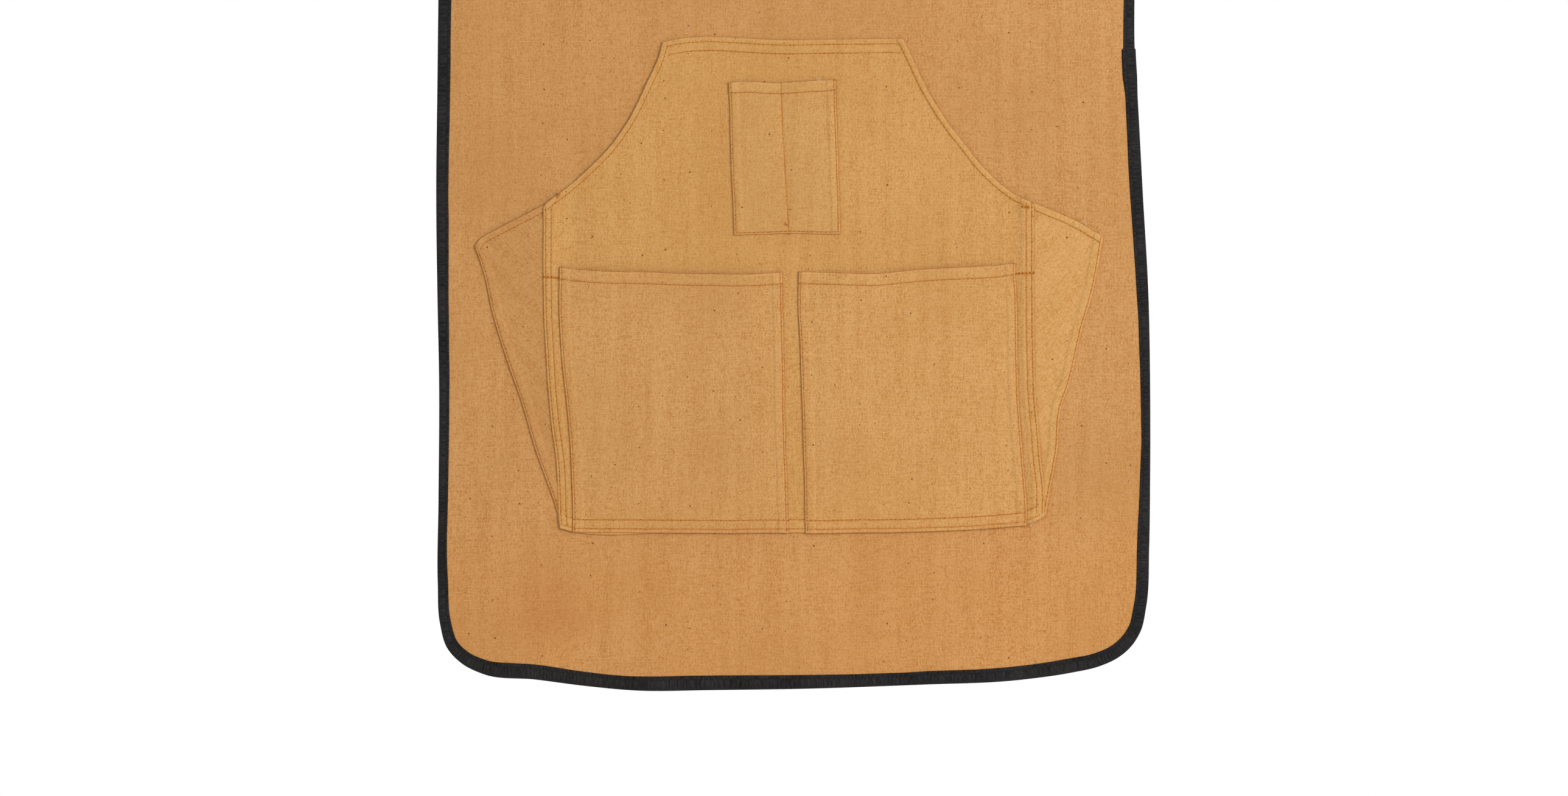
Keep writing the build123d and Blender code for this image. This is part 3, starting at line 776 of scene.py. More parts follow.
def folded_tape(name, line, widths, side, stitches, seed, joint):
    """Tape folded over an edge: ribs across it, a stitched groove near its lips, and a lap joint."""
    total = lengths(line)[-1]
    count = int(total / (RIB / 2))
    share = np.linspace(0, 1, count)
    line = resample(line, share)
    square = rightward(line) * INWARD[side]
    width = np.interp(share, np.linspace(0, 1, len(widths)), widths)
    width = width + 0.3 * noise(share * total, 0 * share, 22, seed)
    rib = np.where(np.arange(count) % 2, 0.08, -0.08)
    ends = smooth((joint - share * total) / 0.9 + 0.5) * smooth((share * total - joint + 45) / 25)
    width = width + 1.5 * ends
    from_end = np.minimum(share, 1 - share) * total
    tuck = CROSSING[side] * smooth((16 - from_end) / 5)
    section = [(width * a, b, 1) for a, b in TAPE_SECTION] + [(0 * width + a, b, 1) for a, b in TAPE_FOLD]
    section += [(0 * width, 0.0, 0)] + [(inward, lift, -1) for inward, lift, _ in section[::-1]]
    rings, strap = [], []

    def add_ring(x, z, depth, around):
        rings.append(np.column_stack([x, z, depth]))
        strap.append(np.column_stack([np.full(count, around), share * total]))

    around = 0.0
    for inward, lift, face in section:
        push = rib * (0.9 if face == 0 or inward.max() < 2.5 else 0.3) + 0.8 * ends
        x, z = (line + square * (inward - push)[:, None]).T
        middle = panel_front(x, z) - CLOTH / 2
        swell = CLOTH / 2 * min(1.0, lift / 0.4) + lift
        swell = swell + (rib * 0.6 + 0.5 * ends + tuck * min(lift, 0.5) if face else 0)
        add_ring(x, z, middle + face * swell, around)
        around += 1.4
    for inward, face in ((1.0, -1), (0.3, -1), (0.3, 1), (1.0, 1)):
        x, z = (line + square * (width * inward)[:, None]).T
        add_ring(x, z, panel_front(x, z) - CLOTH / 2 + face * (CLOTH / 2 + 0.01), around)
    sides = len(rings)
    points = np.stack(rings, axis=1).reshape(-1, 3)
    strap = np.stack(strap, axis=1).reshape(-1, 2)
    faces = [face if INWARD[side] > 0 else face[::-1] for face in tube_faces(count, sides)]
    obj = solid(name, facing(points), faces, [TAPE], strap=strap)
    for k, out in ((GROOVE, 1.0), (len(section) - 1 - GROOVE, -1.0)):
        stitches.run(rings[k], pitch=3.3, out=out, holes=False)
    return obj, total


# The skirt tape's width on the front, from the top of the left side round to the top of the right side.
SKIRT_WIDTHS = [11.4, 11, 10.8, 10.4, 9.2, 8.6, 7.8, 9.8, 13.2, 11.9, 12.8, 12, 10.9, 11.5, 12.7, 11, 10.4,
                7.6, 8.9, 10.6, 11.1, 10.2, 8.8]
JOINT_FROM_END = 62
TAPES = {
    "binding_skirt": ("bottom", SKIRT_LINE, SKIRT_WIDTHS),
    "binding_armhole_left": ("left", ARM_LEFT, [10, 10.5, 10]),
    "binding_armhole_right": ("right", ARM_RIGHT, [10, 10.5, 10]),
    "binding_bib_top": ("top", through([(-137, BIB_TOP), (137, BIB_TOP)]), [12, 12]),
}
black_stitches = Thread(3, 0.5)
tapes = []
for seed, (node, (side, line, widths)) in enumerate(TAPES.items(), 41):
    joint = lengths(line)[-1] - JOINT_FROM_END if node == "binding_skirt" else NO_JOINT
    obj, total = folded_tape(node + "_tape", line, widths, side, black_stitches, seed, joint)
    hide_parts(node)
    tapes.append((obj, total))


# ---- the pouch

FLAP_LEFT = [(-195.5, 138), (-201, 157), (-217.7, 204), (-229.7, 245), (-242.7, 282), (-255.3, 324),
             (-262, 355), (-270, 379)]
FLAP_RIGHT = [(219.5, 148), (223.9, 172), (229.7, 204), (232.8, 240), (240, 261), (251, 308), (260, 339),
              (268.8, 387)]
POUCH_LOW, POUCH_HIGH, POUCH_LIFT = 133, 556, 1.0
LAP = 17


def pouch_lift(x, z):
    """How far the pouch stands off the panel: sewn down at its slanted sides, hem and top."""
    left, right = np.array(FLAP_LEFT), np.array(FLAP_RIGHT)
    x_left = np.interp(z, left[:, 1], left[:, 0]) - np.clip(z - left[-1, 1], 0, 400) * 2.2
    x_right = np.interp(z, right[:, 1], right[:, 0]) + np.clip(z - right[-1, 1], 0, 400) * 2.2
    sides = puff((x - x_left) / 60) * puff((x_right - x) / 60)
    ends = puff((z - POUCH_LOW) / 52) * puff((POUCH_HIGH - z) / 46)
    crease = bell((x + 186 + 0.04 * (z - 400)) / 6) * smooth((z - 345) / 40) * smooth((470 - z) / 30)
    return 0.05 + POUCH_LIFT * sides * ends - 0.7 * crease


def on_panel(points, gaps):
    x, z = points.T
    return panel_front(x, z) + pouch_lift(x, z) + 0.5 * lumps_of(x, z, 25)


SEAM_LEFT = through([(-197, 137), (-197.8, 151), (-199.9, 193), (-205, 235), (-206.9, 256), (-209.5, 298),
                     (-211, 355), (-211, 413.5)])
CURVE_LEFT = through([(-211, 413.5), (-196.8, 423.9), (-175, 442.7), (-155, 463.5), (-138.3, 485.5),
                      (-123.7, 516.8), (-111.7, 543), (-109, 553.5)])
SEAM_RIGHT = through([(218.5, 147), (218.6, 172), (216, 193), (213.6, 224), (211.6, 245), (210, 300),
                      (209.5, 415.5)])
CURVE_RIGHT = through([(209.5, 415.5), (195.8, 421.8), (184.3, 429.6), (166, 446.3), (151.4, 464.6),
                       (135.7, 485.5), (116.4, 516.8), (106, 538.7), (97.1, 557)])
SEAM_LEFT, CURVE_LEFT = wobble(SEAM_LEFT, 0.35, 24, 51), wobble(CURVE_LEFT, 0.5, 30, 52)
SEAM_RIGHT, CURVE_RIGHT = wobble(SEAM_RIGHT, 0.35, 24, 53), wobble(CURVE_RIGHT, 0.4, 30, 54)


def lapped_on_flaps(points, gaps):
    """The middle piece lies over the flaps along both seams."""
    seam = np.minimum(away(points, evenly(SEAM_LEFT, 60)), away(points, evenly(SEAM_RIGHT, 60)))
    over = smooth((LAP - seam) / 7)
    turned = smooth((points[:, 1] - 404) / 4) * smooth((LAP - 2 - seam) / 5)
    return on_panel(points, gaps) + (CLOTH + 0.1) * over + FOLD * turned


pouch = Patch(joined(SEAM_LEFT, CURVE_LEFT), joined(SEAM_RIGHT, CURVE_RIGHT),
              wobble(through([(-197, 137), (-186, 134.5), (-100, 133.2), (0, 133), (75, 133.6), (128, 134.7),
                              (180, 137.6), (204, 140.4), (218.5, 147)]), 0.4, 40, 55),
              wobble(through([(-109, 553.5), (-103, 555), (0, 555.4), (97.1, 557)]), 0.3, 40, 56),
              lapped_on_flaps, seed=21)
flap_left = Patch(
    through(FLAP_LEFT), through([(-188, 137.5), (-190, 165), (-196, 235), (-199.5, 300), (-200, 418.5)]),
    through([(-195.5, 138), (-188, 137.5)]),
    wobble(through([(-270, 379), (-267.3, 382.6), (-249, 394.6), (-228, 405.6), (-209.3, 414.5),
                    (-200, 418.5)]), 0.4, 20, 57), on_panel, seed=22)
flap_right = Patch(
    through([(210, 147), (209, 172), (205, 224), (201, 260), (200, 419.5)]), through(FLAP_RIGHT),
    through([(210, 147), (219.5, 148)]),
    through([(200, 419.5), (205, 417.6), (220.8, 411.3), (246.9, 399.8), (268.8, 387)]), on_panel, seed=23)
# How strongly painted shade darkens each edge of the pouch and its side pieces, standing in for the shadow of
# their raised edges.
pouch.dark = {"left": 0.35, "right": 0.5, "bottom": 0.6, "top": 0.55}
flap_left.dark = {"left": 0.66, "top": 0.7, "bottom": 0.5}
flap_right.dark = {"right": 0.45, "top": 0.5, "bottom": 0.5}


def finished(patch, bands, rows):
    """Folds a patch's edges by these widths, and sews rows at a distance from an edge, short of its ends."""
    for edge, width in bands:
        patch.band(edge, width)
    for edge, distance, trim in rows:
        patch.sew(edge, distance, trim)


through_panel = []
for side, seam, curve in (("left", SEAM_LEFT, CURVE_LEFT), ("right", SEAM_RIGHT, CURVE_RIGHT)):
    pouch.band(side, 10.5, 0.6, seam)
    pouch.band(side, 5.2, 1, curve)
    pouch.sew(side, 2.1, (3, 0), seam)
    pouch.sew(side, 6.8, (3, -1), seam)
    pouch.sew(side, 4.7, (2, 4), curve)
pouch.band("top", 12.3)
pouch.band("bottom", 11.5)
for side, distance in (("bottom", 3.5), ("bottom", 11), ("top", 4.7), ("top", 12)):
    through_panel.append(pouch.sew(side, distance, (3, 3)))
for flap, outer, trim in ((flap_left, "left", (1, 8)), (flap_right, "right", (8, 1))):
    flap.band(outer, 8)
    flap.band("top", 6.2)
    through_panel.append(flap.sew(outer, 1.9, (1, 1)))
    flap.sew("top", 5.6, trim)
pouch_obj = pouch.mesh("pouch_front_cloth", CANVAS["pouch"])
flap_objects = {"left": flap_left.mesh("pouch_side_left_cloth", CANVAS["flap_left"]),
                "right": flap_right.mesh("pouch_side_right_cloth", CANVAS["flap_right"])}


# ---- pockets

POCKET_LIFT = 1.9
# Each pocket has patches of painted shade (darker) and painted light (paler) for its soft creases: x, height,
# radius and amount.
POCKETS = {
    "left": dict(
        left=[(-185.9, 133.8), (-186.2, 172), (-187.6, 204), (-191, 245), (-195.5, 290), (-197.3, 330),
              (-197, 361)],
        right=[(-0.5, 132.8), (-2.6, 193), (-4.6, 277), (-5.7, 330), (-6.4, 356.6)],
        bottom=[(-185.9, 133.8), (-100, 132.8), (-0.5, 132.8)],
        top=[(-197, 361), (-187.4, 359.5), (-170.7, 358), (-124, 356.5), (-77, 355.3), (-35, 355),
             (-6.4, 356.6)],
        gape=[(-165, 1.3, 22), (-60, 0.7, 40)],
        shade_and_light_patches=[(-78, 205, 24, -0.09), (-120, 185, 30, -0.05), (-100, 300, 60, 0.03)], seed=33),
    "right": dict(
        left=[(13.6, 132.8), (11.8, 204), (9.4, 277), (7.6, 340), (8, 357)],
        right=[(203.6, 139.5), (202.5, 172), (200, 204), (196, 260), (194.8, 330), (193.4, 364.6)],
        bottom=[(13.6, 132.8), (75, 133.3), (128, 134.4), (180, 137.3), (203.6, 139.5)],
        top=[(8, 357), (28, 356.5), (54, 355), (75, 355), (95, 357), (127, 359.7), (158, 361.2),
             (179, 362.8), (193.4, 364.6)],
        gape=[(60, 1.2, 24), (150, 0.7, 35)],
        shade_and_light_patches=[(48, 199, 30, -0.09), (105, 190, 40, -0.04), (120, 290, 60, 0.03)], seed=37),
}


def on_pouch(lift, gape, reach=34, divider=None):
    """A patch pocket lies on the pouch, swells between its sewn edges and gapes a little at its top."""
    def lies(points, gaps):
        sides = puff(gaps["left"] / reach) * puff(gaps["right"] / reach) * puff(gaps["bottom"] / 46)
        if divider is not None:
            sides = sides * puff(away(points, divider) / 13)
        swell = lift * sides
        for place, size, spread in gape:
            swell = (swell + size * bell((points[:, 0] - place) / spread) * smooth(1 - gaps["top"] / 60)
                     * smooth(gaps["left"] / 14) * smooth(gaps["right"] / 14))
        return pouch.front(points) + 0.05 + swell
    return lies


pockets, pocket_objects = {}, {}
for side, shape in POCKETS.items():
    seed = shape["seed"]
    edges = [wobble(through(shape[edge]), 0.4, 30, seed + i) for i, edge in
             enumerate(("left", "right", "bottom", "top"))]
    patch = Patch(*edges, on_pouch(POCKET_LIFT, shape["gape"]), seed=seed)
    # How strongly painted shade darkens each edge of the pocket.
    patch.dark = {"left": 0.55, "right": 0.75, "bottom": 0.6, "top": 0.8}
    finished(patch, (("left", 8.5), ("right", 8.5), ("top", 9.5)),
             (("left", 1.9, (2, 1)), ("right", 1.9, (2, 1)), ("top", 10, (1, 1)), ("bottom", 3.5, (1, 1)),
              ("bottom", 11, (1, 1))))
    pockets[side] = patch
    pocket_objects[side] = patch.mesh(f"pocket_{side}_cloth", CANVAS["pocket_" + side], shape["shade_and_light_patches"])

DIVIDER = through([(-0.5, 389.5), (-3.1, 433), (-5.2, 470), (-7.3, 518)], 60)
pencil = Patch(wobble(through([(-47.5, 388), (-50, 455), (-52.2, 519)]), 0.3, 20, 61),
               wobble(through([(43.8, 389), (41.7, 455), (39.7, 521.5)]), 0.3, 20, 62),
               wobble(through([(-47.5, 388), (-2, 389.3), (43.8, 389)]), 0.3, 20, 63),
               wobble(through([(-52.2, 519), (-40, 519.6), (-7, 518.6), (15, 520), (39.7, 521.5)]),
                      0.4, 20, 64),
               on_pouch(0.8, [(-30, 0.3, 10), (18, 0.3, 10)], 16, DIVIDER), step=1.0, seed=43)
# How strongly painted shade darkens each edge of the pencil pocket.
pencil.dark = {"left": 0.45, "right": 0.85, "bottom": 0.6, "top": 0.75}
finished(pencil, (("top", 8.8), ("left", 7.5), ("right", 7.5)),
         (("left", 1.9, (2, 1)), ("right", 1.9, (2, 1)), ("bottom", 1.9, (1.5, 1.5)),
          ("top", 9.2, (1.5, 1.5))))
pencil.rows.append(DIVIDER)
pencil_obj = pencil.mesh("pencil_pocket_cloth", CANVAS["pencil"])

stitching = Thread(5)
for patch in (pouch, flap_left, flap_right, pockets["left"], pockets["right"], pencil):
    for row in patch.rows:
        stitching.run(on(patch, row))
for row in through_panel:
    stitching.run(behind_panel(row), out=-1.0)


def bar_across(patch, start, end):
    """A short back-tack: three passes of thread over each other."""
    for k in (-0.35, 0, 0.35):
        row = through([start, end], 12) + np.array([0.3 * k, k])
        line = on(patch, row)
        line[:, 2] += 0.10
        stitching.run(line, pitch=3.0)


def tuft(patch, place, ends, slot, radius=0.17):
    """Loose thread ends that leave a seam together."""
    x, z = place
    y = patch.front(np.array([place]))[0]
    for dx, dz in ends:
        stitching.loose([(x, z, y + 0.1), (x + dx * 0.5, z + dz * 0.3, y + 0.9), (x + dx, z + dz, y + 0.9)],
                        radius, slot)


bar_across(pouch, (-210.5, 352.3), (-197.5, 351.4))
bar_across(pouch, (193.5, 355.2), (209, 355.8))
bar_across(pouch, (199.5, 412.5), (204, 411.8))
tuft(pencil, (-2.6, 396.5), [(-1.8, 1.8), (1.4, 1.2), (-0.6, 2.6)], 2, 0.25)
tuft(pouch, (-199.0, 419.6), [(3.2, 6.4), (2.2, 5.6), (0.4, 2.4)], 2, 0.34)
tuft(pouch, (205, 143), [(2.5, -4.5), (4.0, -2.0)], 3, 0.22)
tuft(pencil, (24.5, 520), [(-1.0, 3.6), (1.2, 3.0), (2.2, 1.2)], 3, 0.16)
loop_at = flap_right.front(np.array([(251.0, 396.0)]))[0]
stitching.loose([(249, 395.6, loop_at), (249.6, 398.5, loop_at + 0.9), (252, 400.4, loop_at + 1.2),
                 (254, 398.4, loop_at + 0.9), (253.2, 394.8, loop_at)], 0.16, 3)
thread_obj = stitching.piece("rust_stitches", RUST)


# ---- webbing

# Webbing is laid out in the frame itself: y runs towards the wall, and z up from the hook plate's middle. Its
# centre line turns round a bar at the radius LANE, and over the hook's arm at the radius CROWN.
HANG_Y, ARM_Z = -40.0, -10.0
TAB_X, STRAP_DROP = 105.0, 280.0
LANE, CROWN, STRAP = 2.75, 5.0, 1.4
WIDE = 25.0
TOP_BAR, LOW_BAR = ARM_Z - STRAP_DROP, ARM_Z - STRAP_DROP - 14
SLIDER_AT, SLIDER_HALF, SLIDER_WIRE, GAP = 78.0, 12.0, 1.25, 0.3
DISTANCE = math.hypot(TAB_X, STRAP_DROP)
LEG_ANGLE = math.atan2(TAB_X, STRAP_DROP) - math.asin(CROWN / DISTANCE)
LEG = math.sqrt(DISTANCE**2 - CROWN**2)
TWIST = 0.52 * LEG
SLIDER_Y = HANG_Y - LANE - SLIDER_WIRE - GAP - STRAP / 2
WRAP = SLIDER_WIRE + GAP + STRAP / 2


def strip(name, stations):
    """Webbing with rounded selvedges along stations: centre points and the unit vectors across it."""
    centres = np.array([c for c, _ in stations], float)
    across = np.array([a for _, a in stations], float)
    normal = unit(np.cross(np.gradient(centres, axis=0), across))
    half, t = WIDE / 2, STRAP / 2
    flat = [(a, t * (0.93 + 0.07 * math.cos(a * math.pi / half)))
            for a in np.linspace(half - t, t - half, 11)]
    turn = [(-half + t - t * math.sin(a), t * math.cos(a)) for a in np.array([1, 2, 3]) * math.pi / 4]
    section = flat + turn + [(-a, -b) for a, b in flat] + [(-a, -b) for a, b in turn]
    s = lengths(centres)
    points = np.stack([centres + across * a + normal * b for a, b in section], axis=1).reshape(-1, 3)
    strap = np.stack([np.column_stack([np.full(len(s), a), s]) for a, _ in section], axis=1).reshape(-1, 2)
    return solid(name, points, tube_faces(len(s), len(section)), [WEBBING], strap=strap), s[-1]


def leg_frame(side):
    start = np.array([side * CROWN * math.cos(LEG_ANGLE), HANG_Y, ARM_Z + CROWN * math.sin(LEG_ANGLE)])
    down = np.array([side * math.sin(LEG_ANGLE), 0, -math.cos(LEG_ANGLE)])
    flat = np.array([math.cos(LEG_ANGLE), 0, side * math.sin(LEG_ANGLE)])
    return start, down, flat


def level(side, blend):
    """Across the webbing: square to the leg, turning level where it meets the ring's bar."""
    flat = leg_frame(side)[2]
    return flat * (1 - blend) + np.array([1 / math.cos(LEG_ANGLE), 0, 0]) * blend


def leg(side, first, last, step):
    """One leg between two distances from the arm: edge-on there, a quarter twist, then flat."""
    start, down, flat = leg_frame(side)
    stations = []
    for s in np.linspace(first, last, round((last - first) / step) + 1):
        turn = smooth(s / TWIST) * math.pi / 2
        above = LEG - s
        skew = smooth(1 - above / 45)
        across = np.array([0, math.cos(turn), 0]) - side * math.sin(turn) * flat
        across = across * (1 - skew) - side * level(side, 1.0) * skew
        depth = LANE * smooth(s / TWIST)
        if side > 0:
            reach = SLIDER_HALF - SLIDER_WIRE - GAP
            rise = 2 * SLIDER_WIRE + 2 * STRAP + 3 * GAP
            depth += rise * smooth((reach - abs(above - SLIDER_AT)) / (reach - 1))
        stations.append((start + down * s - np.array([0, depth, 0]), across))
    return stations


def ring_turn(side):
    across = -side * level(side, 1.0)
    return [(np.array([side * TAB_X, HANG_Y - LANE * math.cos(a), TOP_BAR - LANE * math.sin(a)]), across)
            for a in np.linspace(0, math.pi, 25)]


def returning(side, path):
    """Webbing back up a leg, through points given as height above the bar along the leg and depth."""
    down = leg_frame(side)[1]
    stations = []
    for s, y in through(path, int(3 * lengths(np.array(path, float))[-1])):
        point = np.array([side * TAB_X, 0, TOP_BAR]) - down * s
        stations.append((np.array([point[0], y, point[2]]), -side * level(side, smooth(1 - s / 45))))
    return stations


crown = [(np.array([CROWN * math.cos(a), HANG_Y, ARM_Z + CROWN * math.sin(a)]), np.array([0, 1.0, 0]))
         for a in np.linspace(math.pi - LEG_ANGLE, LEG_ANGLE, 29)]
SEWN_BACK = HANG_Y - LANE + STRAP + 0.05
sewn_end = returning(-1, [(0.5, HANG_Y + LANE), (4, HANG_Y + LANE - 0.4), (12, SEWN_BACK + 0.8),
                          (18, SEWN_BACK), (38, SEWN_BACK)])
SPLIT = LEG - SLIDER_AT - 75
MIDDLE = LEG - SLIDER_AT
upper, upper_length = strip(
    "neck_strap_upper",
    (leg(-1, 1, LEG - 1, 2) + ring_turn(-1) + sewn_end)[::-1] + crown + leg(1, 1, SPLIT, 2))
reach_in, middle_length = strip("neck_strap_middle", leg(1, SPLIT, MIDDLE, 0.5))
wrap = [(SLIDER_AT + WRAP * math.sin(a), SLIDER_Y + WRAP * math.cos(a)) for a in np.linspace(0, math.pi, 9)]
lower, lower_length = strip(
    "neck_strap_lower", leg(1, MIDDLE, LEG - 0.5, 0.5) + ring_turn(1)
    + returning(1, [(1, HANG_Y + LANE), (20, HANG_Y + LANE), (45, HANG_Y + LANE), (62, HANG_Y + LANE),
                    (68, HANG_Y + LANE - 0.3), (72, HANG_Y + 1.0), (75.5, SLIDER_Y + WRAP + 0.5)] + wrap))


def hanging(x, path, name, sway=0.0, step=0.6):
    """Webbing that stays level: through points given as depth and height."""
    line = through(path, int(lengths(np.array(path, float))[-1] / step))
    share = lengths(line) / lengths(line)[-1]
    free = np.sin(math.pi * np.clip((share - 0.1) / 0.75, 0, 1)) ** 2
    stations = []
    for (y, z), s, f in zip(line, share, free):
        angle = sway * f * math.sin(7 * s)
        stations.append((np.array([x + 6 * sway * f, y - 1.5 * abs(sway) * 8 * f * math.sin(5 * s), z]),
                         np.array([math.cos(angle), math.sin(angle), 0])))
    return strip(name, stations)


SEWN = TAPE_SHELL + 0.55 + STRAP / 2
BIB = HEM + BIB_TOP
tabs, waists = {}, {}
for side, word in ((-1, "left"), (1, "right")):
    loop = [(HANG_Y - LANE * math.cos(a), LOW_BAR + LANE * math.sin(a)) for a in np.linspace(0, math.pi, 9)]
    path = [(HANG_Y - SEWN, BIB - 32), (HANG_Y - SEWN, BIB - 20), (HANG_Y - SEWN, BIB)] + loop
    path += [(HANG_Y + SEWN, BIB), (HANG_Y + SEWN, BIB - 20), (HANG_Y + SEWN, BIB - 32)]
    tabs[word] = hanging(side * TAB_X, path, f"ring_tab_{word}_webbing", step=0.4)

WAIST_X, WAIST_Y, PATCH_Y = 272.0, -33.5, -37.9
WAIST_TOP = HEM + 602
BAR_Z = WAIST_TOP - 500
for side, word in ((-1, "left"), (1, "right")):
    path = [(PATCH_Y, WAIST_TOP), (PATCH_Y, WAIST_TOP - 15), (PATCH_Y, WAIST_TOP - 30)]
    path += [(PATCH_Y + (WAIST_Y - LANE - PATCH_Y) * float(smooth(k / 5)), WAIST_TOP - 30 - 12 * k)
             for k in range(1, 6)]
    path += [(WAIST_Y - LANE, BAR_Z + z) for z in (300, 200, 120, 40, 8)]
    path += [(WAIST_Y - LANE * math.cos(a), BAR_Z - LANE * math.sin(a)) for a in np.linspace(0, math.pi, 9)]
    path += [(WAIST_Y + LANE, BAR_Z + 6), (WAIST_Y + LANE - 1.2, BAR_Z + 14),
             (WAIST_Y - LANE + STRAP + 0.3, BAR_Z + 22), (WAIST_Y - LANE + STRAP + 0.1, BAR_Z + 38)]
    waists[word] = hanging(side * WAIST_X, path, f"waist_strap_{word}_webbing", sway=0.16 * side, step=0.6)


def crossed_box(stitches, low, high, depth, out, slant=0.0):
    """A stitched box with a cross in it, at this depth, its sides leaning by the slant."""
    def corner(x, z):
        return (x + slant * (z - low[1]), z, depth)

    a, b = corner(*low), corner(high[0], low[1])
    c, d = corner(*high), corner(low[0], high[1])
    for start, end in ((a, b), (b, c), (c, d), (d, a), (a, c), (b, d)):
        stitches.run(through([start, end], 30), pitch=2.9, out=out, holes=False)


FACE = SEWN + STRAP / 2 - 0.45
for side in (-1, 1):
    low, high = (side * TAB_X - 10.5, BIB_TOP - 30), (side * TAB_X + 10.5, BIB_TOP - 9)
    crossed_box(black_stitches, low, high, FACE, 1.0)
    crossed_box(black_stitches, low, high, FRONT - (HANG_Y + SEWN + STRAP / 2) + 0.02, -1.0)
LEG_LOW = TOP_BAR - HEM
LEAN = math.tan(LEG_ANGLE)
tail_low = (-TAB_X + 15 * LEAN - 10, LEG_LOW + 16)
tail_high = (tail_low[0] + 20, LEG_LOW + 33)
strap_stitches = Thread(4)
crossed_box(strap_stitches, tail_low, tail_high, FRONT - (HANG_Y - LANE - STRAP / 2) - 0.02, 1.0, LEAN)
strap_thread_obj = strap_stitches.piece("strap_stitches", BLACK_THREAD)
for side in (-1, 1):
    x, top = side * WAIST_X, WAIST_TOP - HEM
    box = [(x - 11, top - 9), (x + 11, top - 9), (x + 11, top - 2.5), (x - 11, top - 2.5), (x - 11, top - 9)]
    for start, end in zip(box, box[1:]):
        row = through([start, end], 30)
        black_stitches.run(np.column_stack([row, panel_front(*row.T)]), pitch=3.0)
        depth = np.full(30, FRONT - PATCH_Y - STRAP / 2)
        black_stitches.run(np.column_stack([row, depth]), pitch=3.0, out=-1.0, holes=False)
black_thread_obj = black_stitches.piece("black_stitches", BLACK_THREAD * 2)


# ---- camera, light and floor

VIEW_CENTRE = Vector((-4.7, FRONT, HEM + 248.7)) * MM
VIEW_WIDTH = 1345 * MM
LENS, SENSOR = 85, 36
# Name, place in metres, size and power.
LIGHTS = (("key", (2.1, -2.9, 0.0), 1.3, 66), ("fill", (-2.2, -3.0, -0.4), 2.5, 5),
          ("rear", (-1.2, 2.8, 0.6), 2.0, 30))
ROOM_LIGHT, BACKDROP_LIGHT = 0.55, 1.0
FLOOR_HALF, FLOOR_HEIGHT = 4.0, -1.95


def area_light(name, place, size, power):
    data = bpy.data.lights.new(name, "AREA")
    data.shape, data.size, data.energy = "SQUARE", size, power
    obj = bpy.data.objects.new(name, data)
    obj.location = place
    obj.rotation_mode = "QUATERNION"
    obj.rotation_quaternion = (VIEW_CENTRE - Vector(place)).to_track_quat("-Z", "Y")
    bpy.context.scene.collection.objects.link(obj)


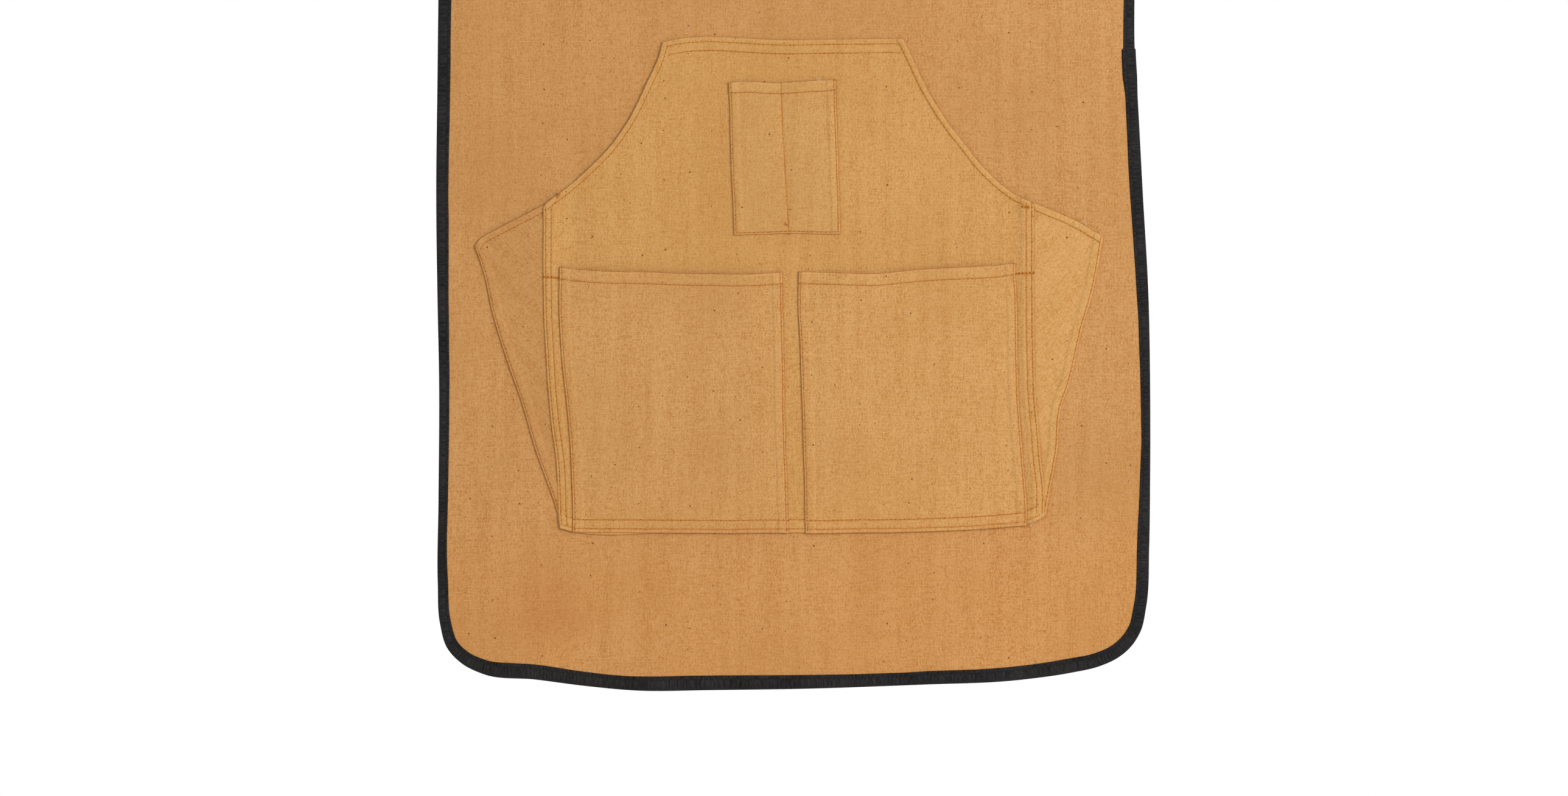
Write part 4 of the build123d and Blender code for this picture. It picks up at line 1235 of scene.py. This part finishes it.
def set_stage():
    camera = bpy.data.cameras.new("camera")
    camera.lens, camera.sensor_width = LENS, SENSOR
    obj = bpy.data.objects.new("camera", camera)
    obj.location = VIEW_CENTRE - Vector((0, VIEW_WIDTH * LENS / SENSOR, 0))
    obj.rotation_euler = (math.pi / 2, 0, 0)
    bpy.context.scene.collection.objects.link(obj)
    bpy.context.scene.camera = obj
    for light in LIGHTS:
        area_light(*light)
    world = bpy.data.worlds.new("studio")
    world.use_nodes = True
    tree = world.node_tree
    background = tree.nodes["Background"]
    ray = tree.nodes.new("ShaderNodeLightPath")
    strength = tree.nodes.new("ShaderNodeMapRange")
    strength.inputs["To Min"].default_value = ROOM_LIGHT
    strength.inputs["To Max"].default_value = BACKDROP_LIGHT
    tree.links.new(ray.outputs["Is Camera Ray"], strength.inputs["Value"])
    tree.links.new(strength.outputs[0], background.inputs["Strength"])
    background.inputs["Color"].default_value = (1, 1, 1, 1)
    bpy.context.scene.world = world
    bpy.context.scene.view_settings.view_transform = "Standard"
    n = Nodes("pale_floor")
    dust = n.noise(n.place(), 3, 3)
    floor = bpy.data.meshes.new("floor")
    corners = [(x * FLOOR_HALF, y * FLOOR_HALF, FLOOR_HEIGHT)
               for x, y in ((-1, -1), (1, -1), (1, 1), (-1, 1))]
    floor.from_pydata(corners, [], [(0, 1, 2, 3)])
    floor.materials.append(n.finish(n.mix(dust, [0.82, 0.82, 0.81, 1], [0.86, 0.86, 0.85, 1]), 0.7,
                                    n.bump(dust, 0.05, 0.001)))
    ground = bpy.data.objects.new("floor", floor)
    bpy.context.scene.collection.objects.link(ground)
    ground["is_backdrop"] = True


set_stage()


# ---- bodies and finishes

def belongs(obj, body_name, slot, *nodes):
    if body_name:
        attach(obj, body_name)
    if nodes:
        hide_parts(*nodes)


belongs(panel, "apron", "canvas", "body_panel")
belongs(pouch_obj, "apron", "canvas", "pouch_front")
belongs(pencil_obj, "apron", "canvas", "pencil_pocket")
belongs(thread_obj, "apron", "canvas")
belongs(black_thread_obj, "apron", "grosgrain")
belongs(strap_thread_obj, "rings", "webbing")
for obj, _ in tapes:
    belongs(obj, "apron", "grosgrain")
for word in ("left", "right"):
    belongs(flap_objects[word], "apron", "canvas", "pouch_side_" + word)
    belongs(pocket_objects[word], "apron", "canvas", "pocket_" + word)
    belongs(tabs[word][0], "apron", "webbing", "ring_tab_" + word)
    belongs(waists[word][0], None, "webbing", "waist_strap_" + word)
    x = WAIST_X * MM * (-1 if word == "left" else 1)
    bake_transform(waists[word][0])
for obj in (upper, reach_in, lower):
    belongs(obj, None, "webbing", "neck_strap")


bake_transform(upper)
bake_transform(reach_in)
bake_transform(lower)

for node, material in {"hook_plate": COAT, "hook_arm": COAT, "hook_tip": BEECH, "ring_left": NICKEL,
                       "ring_right": NICKEL, "strap_slider": NICKEL, "buckle_plug": PLASTIC,
                       "buckle_socket": PLASTIC}.items():
    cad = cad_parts[node]
    cad.data.materials.clear()
    cad.data.materials.append(material)

low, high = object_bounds()
